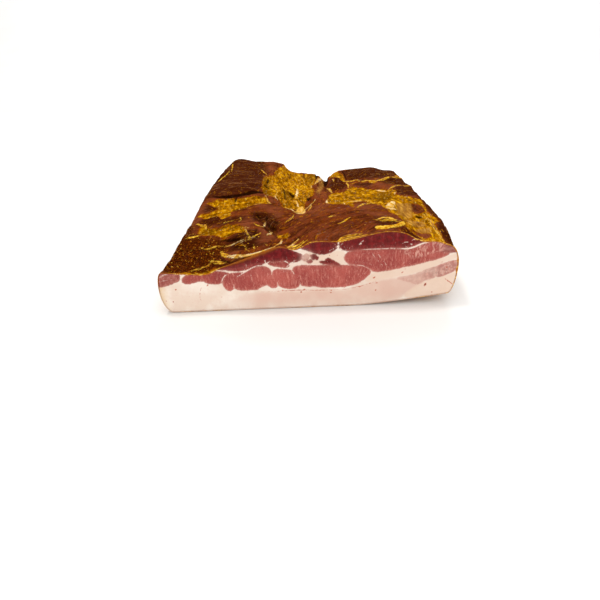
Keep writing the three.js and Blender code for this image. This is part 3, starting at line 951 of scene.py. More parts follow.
CUT_CREAM_MARKS: Marks = (
    # The wedge on the left, the middle, under the right muscle, and at the bottom right.
    Patch(((-64.6, 28.4), (-63, 30.8), (-61, 32.8), (-60.2, 31), (-56, 29.8), (-60, 28.8))),
    Patch(((-3, 33), (-1.6, 36.4), (-2, 39), (2, 41.2), (8.7, 38.8), (15, 39.4), (19.8, 41.6), (24.4, 40.4),
           (26, 38.4), (24.4, 35.4), (25.6, 32.6), (27, 30.6), (20, 30.6), (0, 31.6))),
    Patch(((43, 25.4), (51, 25.4), (76, 30.2), (87, 33), (97, 36.4), (99, 32), (86, 28), (74, 23),
           (62, 20.4), (52, 19.4), (36, 16.4))),
    Patch(((64, 7), (72, 13.6), (80, 17.6), (92, 20), (99, 24), (99, 8), (88, 5), (66, 3))),
)

CUT_MARKS: dict[Cut, Marks] = {
    Cut.PINK: PINK_MARKS, Cut.SINEW: SINEW_MARKS, Cut.SPECK: SPECK_MARKS, Cut.FEATHER: FEATHER_MARKS,
    Cut.CREAM: CUT_CREAM_MARKS,
}

# How golden the line of crust round the cut is along x.
RIM_GOLD: Points = (
    (-101, 0.1), (-93, 0.35), (-84, 0.8), (-66, 0.85), (-60, 0.7), (-54, 0.2), (-14, 0.25), (-9, 0.7),
    (3, 0.9), (9, 0.35), (17, 0.4), (20, 0.95), (29, 0.8), (35, 0.3), (62, 0.35), (70, 0.9), (102, 1),
)


@dataclass(frozen=True)
class CutReading:
    """Reads the cut face's marks at places on it, in mm."""

    tone_blend: float = 1.6
    smoke_over_deep: float = 3.6
    smoke_elsewhere: float = 1.1

    def read(self, x: Array, z: Array, rim: Array) -> dict[str, Array]:
        """Reads all marks.

        Args:
            x: Places across the face.
            z: Places up the face.
            rim: The face's outline, one corner to a row.

        Returns:
            Each attribute's values by its name.
        """
        depths = [Patch(muscle.outline).depth(x, z) for muscle in MUSCLES]
        shares = np.exp((np.array(depths) - np.max(depths, axis=0)) / self.tone_blend)
        shares = shares / shares.sum(axis=0)
        values = {
            Cut.LEAN.value: np.max(depths, axis=0),
            "cut_red": np.array([muscle.red for muscle in MUSCLES]) @ shares,
            "cut_grey": np.array([muscle.grey for muscle in MUSCLES]) @ shares,
            "cut_faint": np.array([muscle.faint for muscle in MUSCLES]) @ shares,
        }
        for kind, marks in CUT_MARKS.items():
            values[kind.value] = np.max([mark.depth(x, z) for mark in marks], axis=0)
        from_rim = line_distance(x, z, np.vstack([rim, rim[:1]]))[0]
        over_deep = ease(x, -62, -36) * ease(-x, 12, 24) * ease(z, 24, 30)
        band = mix(self.smoke_elsewhere, self.smoke_over_deep, over_deep)
        values["cut_smoke"] = 1 - from_rim / band
        values["cut_rim"] = np.minimum(from_rim, FAR)
        values["cut_gold"] = np.interp(x, *np.array(RIM_GOLD).T) * mix(0.4, 1, ease(z, 8, 26))
        return values


class CrustReading:
    """Reads the crust's marks at places on it, in mm."""

    LIFT_EDGE = 1.2
    FAT_SINK = 0.55
    MUSCLE_GAP = 40.0

    def __init__(self) -> None:
        """Rounds the guide lines that the muscle fibres follow."""
        self.guides = [rounded(points, False) for points in MUSCLE_LINES]

    def depths(self, x: Array, y: Array) -> dict[Tissue, Array]:
        """Measures how far inside the marks of each tissue places are.

        Args:
            x: Across the slab.
            y: Along the slab.

        Returns:
            The depths by the tissue.
        """
        found = {}
        for kind, marks in CRUST_MARKS.items():
            found[kind] = np.max([mark.depth(x, y) for mark in marks], axis=0)
        found[Tissue.FAT] = np.minimum(found[Tissue.FAT], -found[Tissue.LEAN])
        return found

    def relief(self, x: Array, y: Array, fat: Array) -> Array:
        """Works out what the marks add to the top.

        Args:
            x: Across the slab.
            y: Along the slab.
            fat: How far inside the fat the places are.

        Returns:
            The added heights, in mm.
        """
        total = -self.FAT_SINK * ease(fat, -0.6, 1.6)
        for marks in CRUST_MARKS.values():
            for mark in marks:
                if mark.rise:
                    total = total + mark.rise * ease(mark.depth(x, y), -0.5, self.LIFT_EDGE)
        return total

    def grain(self, x: Array, y: Array) -> Array:
        """Finds the nearest muscle's fibres.

        Args:
            x: Across the slab.
            y: Along the slab.

        Returns:
            How far along the fibres and across them each place is, and a number for the muscle.
        """
        best = np.full(x.shape, np.inf)
        result = np.zeros((*x.shape, 3))
        for number, guide in enumerate(self.guides):
            distance, along, side = line_distance(x, y, guide)
            nearer = distance < best
            best = np.where(nearer, distance, best)
            place = np.stack([along, distance * side, np.full(x.shape, self.MUSCLE_GAP * number)], axis=-1)
            result = np.where(nearer[..., None], place, result)
        return result


def add_mesh(name: str, points: Array, faces: list[tuple[int, ...]]) -> Object:
    """Makes an object from points in mm and faces, with smooth shading.

    Args:
        name: The object's name.
        points: One point to a row.
        faces: The corners of each face.

    Returns:
        The object, linked to the scene.
    """
    mesh = bpy.data.meshes.new(name)
    mesh.from_pydata((points * MM).tolist(), [], faces)
    mesh.shade_smooth()
    piece = bpy.data.objects.new(name, mesh)
    bpy.context.scene.collection.objects.link(piece)
    return piece


def set_values(mesh: Mesh, name: str, values: Array) -> None:
    """Stores one number or one vector for each point of a mesh."""
    kind, field = ("FLOAT", "value") if values.ndim == 1 else ("FLOAT_VECTOR", "vector")
    mesh.attributes.new(name, kind, "POINT").data.foreach_set(field, values.astype(np.float32).ravel())


@dataclass
class Slab:
    """The slab itself: its crust, its cut face and its back end, as one closed skin. Sizes are in mm."""

    form: SlabForm
    top_steps: int = 236
    under_steps: int = 44
    edge_steps: int = 9
    rows: int = 212
    back_rows: int = 6
    cut_spacing: float = 0.86
    back_spacing: float = 1.8
    back_reach: float = 15.0
    crease_angle: float = 52.0
    calm_behind_cut: float = 4.0
    fill_scatter: float = 0.3
    fill_margin: float = 0.55
    skin_sink: float = 0.25
    beads_anywhere: float = 0.012
    beads_in_grit: float = 0.8
    beads_on_strands: float = 0.22
    beads_round_fat: float = 0.1

    def places(self) -> Array:
        """Spaces out the cross-sections, closer over the rounded back end.

        Returns:
            Where they stand along the slab.
        """
        start = self.form.back_y - self.form.back_round
        body = np.linspace(self.form.cut_y, start, self.rows + 1)[:-1]
        turn = np.linspace(0, np.pi / 2, self.back_rows + 1)
        return np.concatenate([body, start + self.form.back_round * np.sin(turn)])

    def fill(self, rim: Array, spacing: float) -> tuple[Array, list[tuple[int, int, int]]]:
        """Fills a flat outline with even triangles.

        Args:
            rim: The outline, one corner to a row.
            spacing: How far apart the points inside are.

        Returns:
            The points inside, and triangles that count the rim's corners first and those points after them.
        """
        low, high = rim.min(axis=0), rim.max(axis=0)
        columns = np.arange(low[0], high[0], spacing)
        lines = np.arange(low[1], high[1], spacing * math.sqrt(0.75))
        x, z = np.meshgrid(columns, lines)
        x = x + spacing / 2 * (np.arange(len(lines)) % 2)[:, None]
        scatter = self.fill_scatter * spacing
        x = (x + scatter * (hash_grid(x, z, 1) - 0.5)).ravel()
        z = (z + scatter * (hash_grid(z[:, :1] + x.reshape(z.shape), z, 2) - 0.5)).ravel()
        closed = np.vstack([rim, rim[:1]])
        kept = inside(x, z, closed) & (line_distance(x, z, closed)[0] > self.fill_margin * spacing)
        middle = np.stack([x[kept], z[kept]], axis=1)
        flat = [Vector(point) for point in np.vstack([rim, middle]).tolist()]
        edges = [(i, (i + 1) % len(rim)) for i in range(len(rim))]
        _, _, faces, sources, _, _ = delaunay_2d_cdt(flat, edges, [], 1, 1e-6)
        return middle, [tuple(sources[corner][0] for corner in face) for face in faces]

    def build(self, cut_finish: Material, crust_finish: Material) -> Object:
        """Builds the slab's skin and stores what its materials read.

        Args:
            cut_finish: The material of the cut face.
            crust_finish: The material of everything else.

        Returns:
            The slab.
        """
        form = self.form
        sections = [form.ring(y, self.top_steps, self.under_steps, self.edge_steps) for y in self.places()]
        shell = np.stack([points for points, _ in sections])
        full = np.stack([fullness for _, fullness in sections])
        rows, around, _ = shell.shape
        cut_rim, back_rim = shell[0][:, [0, 2]], shell[-1][:, [0, 2]]
        cut_middle, cut_faces = self.fill(cut_rim, self.cut_spacing)
        back_middle, back_faces = self.fill(back_rim, self.back_spacing)
        cut_start = rows * around
        back_start = cut_start + len(cut_middle)

        x, z = back_middle.T
        from_rim = line_distance(x, z, np.vstack([back_rim, back_rim[:1]]))[0]
        crown = 1 - (1 - np.clip(from_rim / self.back_reach, 0, 1)) ** 2
        peak = form.crag_height * len(form.crag_waves)
        back_y = form.back_line(x) + crown * (form.back_crown - peak + form.crag(x / 2, z))
        cut_points = np.insert(cut_middle, 1, form.cut_y, axis=1)
        points = np.vstack([shell.reshape(-1, 3), cut_points, np.stack([x, back_y, z], axis=1)])

        ring = np.arange(around)
        after = (ring + 1) % around
        faces = [
            (row * around + a, row * around + b, (row + 1) * around + b, (row + 1) * around + a)
            for row in range(rows - 1) for a, b in zip(ring.tolist(), after.tolist())
        ]
        last = (rows - 1) * around
        shell_count = len(faces)
        faces += [tuple(c if c < around else c - around + cut_start for c in face) for face in cut_faces]
        cut_end = len(faces)
        for face in back_faces:
            faces.append(tuple(c + last if c < around else c - around + back_start for c in reversed(face)))
        piece = add_mesh("bacon_slab", points, faces)
        mesh = piece.data
        mesh.materials.append(crust_finish)
        mesh.materials.append(cut_finish)
        slots = np.zeros(len(faces), np.int32)
        slots[shell_count:cut_end] = 1
        mesh.polygons.foreach_set("material_index", slots)

        fullness = np.concatenate([full.ravel(), np.zeros(len(cut_middle)), np.zeros(len(back_middle))])
        self.dress_crust(mesh, points, fullness, slice(cut_start, back_start))
        self.dress_cut(mesh, points, cut_rim, np.r_[0:around, cut_start:back_start])
        self.keep_in_box(mesh)
        mesh.set_sharp_from_angle(angle=math.radians(self.crease_angle))
        mesh.update()
        return piece

    def dress_crust(self, mesh: Mesh, points: Array, fullness: Array, cut: slice) -> None:
        """Gives the crust its relief and stores its marks.

        Args:
            mesh: The slab's mesh.
            points: Its points in mm, in order.
            fullness: How full the section is at each point, below zero on the underside.
            cut: Which points lie inside the cut face.
        """
        form = self.form
        reading = CrustReading()
        x, y, z = points.T
        depths = reading.depths(x, y)
        on_top = ease(fullness, 0.12, 0.55)
        uneven = fullness + 0.14 * lumps(x + y, z, 17, 12) + 0.08 * lumps(x + y, z, 6, 13)
        marked = ease(uneven, 0.12, 0.7)
        share = (x + form.half_width) / (2 * form.half_width)
        layer = mix(12, 19, share) + 2.2 * lumps(x + y, z, 19, 3) + 1.2 * lumps(x + y, z, 7, 4)
        for kind, depth in depths.items():
            below = layer - z if kind is Tissue.FAT else np.full(x.shape, -FAR)
            set_values(mesh, kind.value, np.clip(mix(below, depth, marked), -FAR, FAR))
        set_values(mesh, "rind", ease(-fullness, 0.15, 0.85))
        set_values(mesh, "edge_gold", np.interp(x, *np.array(RIM_GOLD).T))
        grain = reading.grain(x, y)
        along_flank = np.stack([x + y, 2.2 * z, np.full(x.shape, 900.0)], axis=-1)
        set_values(mesh, "grain", np.where((uneven > 0.7)[:, None], grain, along_flank))

        seams = self.beads_on_strands * ease(depths[Tissue.STRAND], -3, 0.5)
        seams = seams + self.beads_round_fat * ease(-np.abs(depths[Tissue.FAT]), -2, 0)
        granular = ease(depths[Tissue.GRANULES], -3, 2)
        behind_cut = ease(y, form.cut_y + 1.5, form.cut_y + self.calm_behind_cut)
        beads = (self.beads_anywhere + self.beads_in_grit * granular + seams) * on_top * behind_cut
        beads[cut] = 0
        set_values(mesh, "granule_share", beads)

        normals = np.empty(len(points) * 3, np.float32)
        mesh.vertex_normals.foreach_get("vector", normals)
        calm = ease(y, form.cut_y, form.cut_y + self.calm_behind_cut)
        fat = ease(depths[Tissue.FAT], -0.5, 1) * on_top
        grit = 0.45 * lumps(x, y, 2.3, 8) + 0.3 * lumps(x, y, 4.1, 9)
        fine = 0.24 * lumps(x, y + z, 6.5, 5) + 0.14 * lumps(x, y + z, 2.6, 6)
        fine = fine + fat * 0.3 * lumps(x, y, 3.6, 7) + granular * on_top * grit
        relief = reading.relief(x, y, depths[Tissue.FAT]) * on_top + fine - self.skin_sink
        relief = relief * calm * (1 - ease(-fullness, 0.5, 0.95))
        relief[cut] = 0
        moved = points + normals.reshape(-1, 3) * relief[:, None]
        mesh.vertices.foreach_set("co", (moved * MM).astype(np.float32).ravel())

    def dress_cut(self, mesh: Mesh, points: Array, rim: Array, chosen: Array) -> None:
        """Stores the cut face's marks and lets its muscles sink a little.

        Args:
            mesh: The slab's mesh.
            points: Its points in mm, in order.
            rim: The cut face's outline.
            chosen: Which points lie on the face or its rim.
        """
        x, z = points[chosen, 0], points[chosen, 2]
        values = CutReading().read(x, z, rim)
        for name, found in values.items():
            spread = np.full(len(points), -FAR)
            spread[chosen] = found
            set_values(mesh, name, spread)
        from_rim = values["cut_rim"]
        sink = 0.22 * ease(values[Cut.LEAN.value], -0.4, 0.8) + 0.08 * (1 + lumps(x, z, 2.4, 10))
        sink = sink + 0.12 * (1 + lumps(x, z, 14, 11))
        co = np.empty(len(points) * 3, np.float32)
        mesh.vertices.foreach_get("co", co)
        co = co.reshape(-1, 3)
        co[chosen, 1] += (sink * ease(from_rim, 0, 1.2) * MM).astype(np.float32)
        mesh.vertices.foreach_set("co", co.ravel())

    def surface(self, x: Array, y: Array) -> Array:
        """Returns the heights of the finished top, in mm."""
        relief = CrustReading().relief(x, y, CrustReading().depths(x, y)[Tissue.FAT])
        return self.form.crust_height(x, y) + relief - self.skin_sink

    def keep_in_box(self, mesh: Mesh) -> None:
        """Holds the slab inside the box of the node that it replaces.

        Args:
            mesh: The slab's mesh.
        """
        low, high = (np.array(corner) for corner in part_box(NODE))
        co = np.empty(len(mesh.vertices) * 3, np.float32)
        mesh.vertices.foreach_get("co", co)
        held = np.clip(co.reshape(-1, 3), low, high)
        mesh.vertices.foreach_set("co", held.astype(np.float32).ravel())


Feed = Socket | float | str | tuple[float, ...]


class Sheet:
    """Adds nodes to a node tree in few words."""

    def __init__(self, tree: NodeTree) -> None:
        """Starts on a tree, which may already hold nodes."""
        self.tree = tree

    def add(self, kind: str, feeds: dict[str | int, Feed] | None = None, **settings: object) -> Node:
        """Adds a node.

        Args:
            kind: The node's type.
            feeds: What goes into its sockets, by their names or numbers.
            settings: Its other properties.

        Returns:
            The node.
        """
        node = self.tree.nodes.new(kind)
        for name, value in settings.items():
            setattr(node, name, value)
        for name, value in (feeds or {}).items():
            self.feed(node.inputs[name], value)
        return node

    def feed(self, socket: Socket, value: Feed) -> None:
        """Fills a socket.

        Args:
            socket: The socket.
            value: The socket that is linked to it, or its number.
        """
        if isinstance(value, Socket):
            self.tree.links.new(value, socket)
        else:
            socket.default_value = value

    def math(self, operation: str, first: Feed, second: Feed = 0.0) -> Socket:
        """Returns the result of an operation on two numbers."""
        return self.add("ShaderNodeMath", {0: first, 1: second}, operation=operation).outputs[0]

    def times(self, first: Feed, second: Feed) -> Socket:
        """Returns the product of two numbers."""
        return self.math("MULTIPLY", first, second)

    def plus(self, first: Feed, second: Feed) -> Socket:
        """Returns the sum of two numbers."""
        return self.math("ADD", first, second)

    def minus(self, first: Feed, second: Feed) -> Socket:
        """Returns the first number less the second."""
        return self.math("SUBTRACT", first, second)

    def attribute(self, name: str, output: str = "Fac") -> Socket:
        """Returns a number or, from the output Vector, a vector that the mesh holds."""
        return self.add("ShaderNodeAttribute", attribute_name=name).outputs[output]

    def depth(self, kind: Enum) -> Socket:
        """Returns how far inside the marks of a kind a place is, in mm."""
        return self.attribute(kind.value)

    def vector(self, operation: str, first: Feed, second: Feed) -> Socket:
        """Returns the result of an operation on two vectors."""
        return self.add("ShaderNodeVectorMath", {0: first, 1: second}, operation=operation).outputs[0]

    def scaled(self, vector: Feed, scale: tuple[float, float, float]) -> Socket:
        """Returns a vector times a scale along each axis."""
        return self.vector("MULTIPLY", vector, scale)

    def place(self) -> Socket:
        """Returns the place on the object in mm."""
        return self.scaled(self.add("ShaderNodeTexCoord").outputs["Object"], (1 / MM, 1 / MM, 1 / MM))

    def noise(self, at: Socket, scale: Feed, detail: float, rough: float, twist: float = 0) -> Socket:
        """Returns noise from 0 to 1, with scale in waves per mm."""
        feeds = {"Vector": at, "Scale": scale, "Detail": detail, "Roughness": rough, "Distortion": twist}
        return self.add("ShaderNodeTexNoise", feeds).outputs["Fac"]

    def ramp(self, value: Feed, start: Feed, end: Feed, low: float = 0, high: float = 1) -> Socket:
        """Returns low before start, high after end and a smooth rise between them."""
        feeds = {"Value": value, "From Min": start, "From Max": end, "To Min": low, "To Max": high}
        return self.add("ShaderNodeMapRange", feeds, interpolation_type="SMOOTHSTEP").outputs["Result"]

    def blend(self, share: Feed, low: Feed, high: Feed) -> Socket:
        """Returns a colour at a share of the way from low to high."""
        feeds = {0: share, 6: low, 7: high}
        return self.add("ShaderNodeMix", feeds, data_type="RGBA", clamp_factor=True).outputs[2]

    def group(self, tree: NodeTree, **feeds: Feed) -> Sockets:
        """Adds a node group, with its inputs fed by their names in lower case."""
        named = {name.replace("_", " ").capitalize(): value for name, value in feeds.items()}
        return self.add("ShaderNodeGroup", named, node_tree=tree).outputs


class Coat:
    """A colour that is built up layer by layer."""

    def __init__(self, sheet: Sheet, color: Feed) -> None:
        """Starts with one colour all over."""
        self.sheet, self.color = sheet, color

    def lay(self, color: Feed, share: Feed) -> None:
        """Lays a colour over the others, as far as a share from 0 to 1 says."""
        self.color = self.sheet.blend(share, self.color, color)

    def veil(
        self, color: Feed, value: Feed, start: float, end: float, low: float = 0, high: float = 1
    ) -> None:
        """Lays a colour over the others, from low where a value is at start to high where it is at end."""
        self.lay(color, self.sheet.ramp(value, start, end, low, high))


def new_group(
    name: str, numbers: dict[str, float], outputs: tuple[str, ...]
) -> tuple[Sheet, Sockets, Sockets]:
    """Starts a shader node group on a place in mm.

    Args:
        name: The group's name.
        numbers: Its other inputs' default numbers, by their names.
        outputs: The names of the numbers that it gives.

    Returns:
        A sheet for the group, what it is given, and the sockets for what it gives.
    """
    tree = bpy.data.node_groups.new(name, "ShaderNodeTree")
    tree.interface.new_socket("Place", in_out="INPUT", socket_type="NodeSocketVector")
    for label, number in numbers.items():
        socket = tree.interface.new_socket(label, in_out="INPUT", socket_type="NodeSocketFloat")
        socket.default_value = number
    for label in outputs:
        tree.interface.new_socket(label, in_out="OUTPUT", socket_type="NodeSocketFloat")
    sheet = Sheet(tree)
    return sheet, sheet.add("NodeGroupInput").outputs, sheet.add("NodeGroupOutput").inputs


@dataclass(frozen=True)
class Effects:
    """The shader node groups that the finishes share."""

    torn_edge: NodeTree
    fibres: NodeTree
    fat_beads: NodeTree
    wet_film: NodeTree

    @classmethod
    def build(cls) -> "Effects":
        """Builds the groups once."""
        return cls(cls.build_torn_edge(), cls.build_fibres(), cls.build_fat_beads(), cls.build_wet_film())

    def torn(
        self, sheet: Sheet, depth: Feed, place: Socket, size: float, tear: float, fade: float
    ) -> Sockets:
        """Gives a mark a torn edge.

        Args:
            sheet: The sheet to add it to.
            depth: How far inside the mark a place is, in mm.
            place: The place in mm.
            size: The tears' size, in waves per mm.
            tear: How far the tears move the edge, in mm.
            fade: The width over which the edge fades, in mm.

        Returns:
            The outputs Mask and Depth.
        """
        feeds = {"depth": depth, "place": place, "tear_size": size, "tear": tear, "softness": fade}
        return sheet.group(self.torn_edge, **feeds)

    def mask(
        self, sheet: Sheet, kind: Enum, place: Socket, size: float, tear: float, fade: float
    ) -> Socket:
        """Returns the mask of the marks of a kind, with torn edges as in torn."""
        return self.torn(sheet, sheet.depth(kind), place, size, tear, fade)["Mask"]

    @staticmethod
    def build_torn_edge() -> NodeTree:
        """Builds the group that turns a depth inside a mark into a mask with a torn edge.

        Returns:
            The group.
        """
        numbers = {"Depth": 0.0, "Tear size": 0.3, "Tear": 1.0, "Softness": 0.3}
        sheet, given, result = new_group("torn edge", numbers, ("Mask", "Depth"))
        tear = sheet.minus(sheet.noise(given["Place"], given["Tear size"], 4, 0.65), 0.5)
        depth = sheet.plus(given["Depth"], sheet.times(tear, sheet.times(given["Tear"], 2)))
        start = sheet.times(given["Softness"], -1)
        sheet.feed(result["Mask"], sheet.ramp(depth, start, given["Softness"]))
        sheet.feed(result["Depth"], depth)
        return sheet.tree

    @staticmethod
    def build_fibres() -> NodeTree:
        """Builds the group that draws muscle fibres along the first axis of their place.

        Returns:
            The group.
        """
        numbers = {"Fineness": 1.0, "Stretch": 9.0}
        sheet, given, result = new_group("muscle fibres", numbers, ("Streaks", "Threads"))
        split = sheet.add("ShaderNodeSeparateXYZ", {0: given["Place"]}).outputs
        along = sheet.math("DIVIDE", split[0], given["Stretch"])
        drawn = sheet.add("ShaderNodeCombineXYZ", {0: along, 1: split[1], 2: split[2]}).outputs[0]
        coarse = sheet.noise(drawn, sheet.times(given["Fineness"], 0.33), 4, 0.6, 0.5)
        fine = sheet.noise(drawn, sheet.times(given["Fineness"], 1.3), 3, 0.6, 0.3)
        both = sheet.plus(sheet.times(coarse, 0.6), sheet.times(fine, 0.4))
        sheet.feed(result["Streaks"], sheet.ramp(both, 0.33, 0.67))
        sheet.feed(result["Threads"], sheet.ramp(fine, 0.56, 0.68))
        return sheet.tree

    @staticmethod
    def build_fat_beads() -> NodeTree:
        """Builds the group that draws the beads and hollows of fat.

        Returns:
            The group.
        """
        sheet, given, result = new_group("fat beads", {"Size": 3.0}, ("Beads", "Hollows"))
        scale = sheet.math("DIVIDE", 1, given["Size"])
        feeds = {"Vector": given["Place"], "Scale": scale}
        cells = sheet.add("ShaderNodeTexVoronoi", feeds, feature="SMOOTH_F1").outputs["Distance"]
        noise = sheet.noise(given["Place"], sheet.times(scale, 0.8), 4, 0.6, 0.6)
        bead = sheet.ramp(cells, 0.65, 0.1)
        both = sheet.plus(sheet.times(bead, 0.45), sheet.times(noise, 0.75))
        sheet.feed(result["Beads"], sheet.ramp(both, 0.35, 0.85))
        sheet.feed(result["Hollows"], sheet.ramp(noise, 0.46, 0.3))
        return sheet.tree

    @staticmethod
    def build_wet_film() -> NodeTree:
        """Builds the group that makes a surface wet in some places and dry in others.

        Returns:
            The group.
        """
        sheet, given, result = new_group("wet film", {"Wet": 0.25, "Dry": 0.5}, ("Roughness",))
        film = sheet.ramp(sheet.noise(given["Place"], 0.16, 4, 0.6, 0.8), 0.42, 0.62)
        spread = sheet.minus(given["Wet"], given["Dry"])
        sheet.feed(result["Roughness"], sheet.plus(given["Dry"], sheet.times(film, spread)))
        return sheet.tree


class Finish:
    """A material on the Principled shader, while it is made."""

    def __init__(self, name: str, **constants: float | Color) -> None:
        """Starts the material.

        Args:
            name: Its name.
            constants: Numbers set on the shader's own sockets, by their names in lower case.
        """
        self.material = bpy.data.materials.new(name)
        self.material.use_nodes = True
        self.sheet = Sheet(self.material.node_tree)
        self.sockets = self.sheet.tree.nodes["Principled BSDF"].inputs
        for label, value in constants.items():
            self.sheet.feed(self.sockets[label.replace("_", " ").title().replace("Ior", "IOR")], value)

    def close(
        self, effects: Effects, color: Feed, height: Feed, strength: float, wet: float, dry: float
    ) -> Material:
        """Feeds the shader what varies over the surface.

        Args:
            effects: The shared groups.
            color: The colour.
            height: The height of the fine relief, in mm.
            strength: How much of that relief shows.
            wet: The roughness where the surface is wet.
            dry: The roughness where it is dry.

        Returns:
            The material.
        """
        sheet = self.sheet
        film = sheet.group(effects.wet_film, place=sheet.place(), wet=wet, dry=dry)
        bump = sheet.add("ShaderNodeBump", {"Strength": strength, "Distance": MM, "Height": height})
        sheet.feed(self.sockets["Base Color"], color)
        sheet.feed(self.sockets["Roughness"], film["Roughness"])
        sheet.feed(self.sockets["Normal"], bump.outputs[0])
        return self.material


@dataclass(frozen=True)
class CrustFinish:
    """The smoked crust: brown lean, golden fat, cream streaks, creases in painted shade, painted sheen and
    glints.
    """

    lean_dark: Color = paint(56, 19, 4)
    lean: Color = paint(120, 54, 24)
    lean_light: Color = paint(142, 76, 48)
    lean_painted_sheen: Color = paint(150, 104, 68)
    lean_orange: Color = paint(142, 62, 4)
    fat_olive: Color = paint(104, 62, 0)
    fat_dark: Color = paint(78, 42, 2)
    fat: Color = paint(178, 114, 0)
    fat_light: Color = paint(226, 166, 18)
    fat_painted_glint: Color = paint(240, 202, 96)
    cream: Color = paint(228, 172, 66)
    strand_low: Color = paint(196, 128, 2)
    strand_high: Color = paint(244, 200, 70)
    cream_light: Color = paint(248, 222, 170)
    tan: Color = paint(112, 60, 12)
    tan_light: Color = paint(214, 158, 72)
    crease: Color = paint(30, 9, 1)
    rind: Color = paint(208, 158, 86)
    rind_dark: Color = paint(150, 92, 34)
    wet: float = 0.26
    dry: float = 0.5
    edge_start: float = -115.9
    edge_narrow: float = -115.8
    edge_wide: float = -113.2

    def build(self, effects: Effects) -> Material:
        """Builds the material.

        Args:
            effects: The shared groups.

        Returns:
            The material.
        """
        finish = Finish("smoked crust", coat_roughness=0.16, specular_ior_level=0.0)
        sheet = finish.sheet
        place = sheet.place()
        waves = sheet.scaled(place, (0.02, 0.02, 0.02))
        grain = sheet.vector("ADD", sheet.attribute("grain", "Vector"), waves)
        fibres = sheet.group(effects.fibres, place=grain, fineness=0.8, stretch=10.0)
        fine = sheet.group(effects.fibres, place=grain, fineness=2.2, stretch=7.0)
        broad = sheet.noise(place, 0.05, 3, 0.5)
        patchy = sheet.noise(place, 0.22, 4, 0.65, 0.4)

        coat = Coat(sheet, self.lean_dark)
        coat.veil(self.lean, fibres["Streaks"], 0.1, 0.9, 0.15, 1)
        coat.veil(self.lean_light, broad, 0.4, 0.66, 0, 0.5)
        coat.veil(self.lean_orange, patchy, 0.5, 0.68, 0, 0.45)
        coat.veil(self.lean_light, fine["Threads"], 0, 1, 0, 0.22)
        coat.veil(self.lean_dark, fine["Streaks"], 0.34, 0.05, 0, 0.7)
        coat.veil(self.lean_dark, sheet.noise(place, 0.4, 4, 0.7), 0.42, 0.3, 0, 0.5)

        # Darker patches: the darker smoked tone of some muscles, and painted shade over the pits and under
        # the lip.
        shade = sheet.ramp(sheet.depth(Tissue.SHADE), -4, 3, 0, 0.84)
        coat.lay(self.lean_dark, shade)
        # A painted sheen along the fibres of the darker patches.
        drawn_grain = sheet.scaled(grain, (0.14, 1, 1))
        sheen = sheet.ramp(sheet.noise(drawn_grain, 0.42, 4, 0.75), 0.54, 0.68, 0, 0.62)
        coat.lay(self.lean_painted_sheen, sheet.times(sheen, shade))
        # Gold flecks, partly specks of fat and partly painted glints, and dark specks.
        flecks_and_glints = sheet.noise(sheet.scaled(grain, (0.4, 1, 1)), 0.85, 3, 0.7)
        clusters = sheet.ramp(patchy, 0.4, 0.6, 0.02, 0.12)
        coat.veil(self.fat, sheet.plus(flecks_and_glints, clusters), 0.67, 0.77, 0, 0.75)
        coat.veil(self.lean_dark, flecks_and_glints, 0.42, 0.32, 0, 0.6)

        granules = sheet.ramp(sheet.depth(Tissue.GRANULES), -3, 2)
        grit = sheet.noise(place, 0.9, 3, 0.75)
        earth = sheet.blend(sheet.ramp(grit, 0.42, 0.72), self.lean_dark, self.lean_orange)
        coat.lay(earth, sheet.times(granules, 0.85))
        coat.lay(self.fat, sheet.times(granules, sheet.ramp(grit, 0.62, 0.72, 0, 0.8)))

        ragged = sheet.times(sheet.minus(fine["Streaks"], 0.5), 1.5)
        fat_depth = sheet.plus(sheet.depth(Tissue.FAT), ragged)
        fat_mark = effects.torn(sheet, fat_depth, place, 0.34, 1.8, 0.45)
        drawn = sheet.scaled(place, (1, 0.42, 1))
        beads = sheet.group(effects.fat_beads, place=drawn, size=2.6)
        strings = sheet.ramp(fibres["Streaks"], 0.1, 0.9)
        richness = sheet.plus(sheet.times(beads["Beads"], 0.35), sheet.times(strings, 0.35))
        richness = sheet.plus(richness, sheet.times(fine["Streaks"], 0.3))
        blotch = sheet.times(sheet.minus(sheet.noise(place, 0.24, 4, 0.7), 0.52), 22)
        fat = Coat(sheet, self.fat_olive)
        fat.veil(self.fat, richness, 0.12, 0.5)
        fat.veil(self.fat_light, richness, 0.5, 0.85)
        # Olive darkening: painted shade in the pit and the hollows, the fat's own tone in the left patch
        # and the blotches.
        fat.veil(self.fat_olive, sheet.plus(sheet.depth(Tissue.HOLLOW), blotch), -4, 3, 0, 0.7)
        fat.veil(self.fat_olive, beads["Hollows"], 0, 1, 0, 0.35)
        fat.veil(self.fat_dark, sheet.noise(drawn, 0.95, 3, 0.7), 0.5, 0.36, 0, 0.75)
        # Pale painted glints on the fat.
        fat.veil(self.fat_painted_glint, sheet.noise(drawn, 0.62, 4, 0.75), 0.58, 0.68, 0, 0.75)
        rind_color = sheet.blend(sheet.ramp(patchy, 0.36, 0.62), self.rind, self.rind_dark)
        fat.lay(rind_color, sheet.times(sheet.attribute("rind"), 0.9))
        coat.lay(fat.color, fat_mark["Mask"])
        coat.veil(self.lean_orange, sheet.math("ABSOLUTE", fat_mark["Depth"]), 0.9, 0.1, 0, 0.5)

        tan = effects.mask(sheet, Tissue.TAN, drawn, 0.25, 2.6, 1.3)
        coat.lay(sheet.blend(richness, self.tan, self.tan_light), sheet.times(tan, 0.75))
        strand = effects.mask(sheet, Tissue.STRAND, place, 0.5, 0.9, 0.3)
        glow = sheet.ramp(sheet.noise(place, 0.45, 4, 0.7), 0.4, 0.6)
        coat.lay(sheet.blend(glow, self.strand_low, self.strand_high), strand)
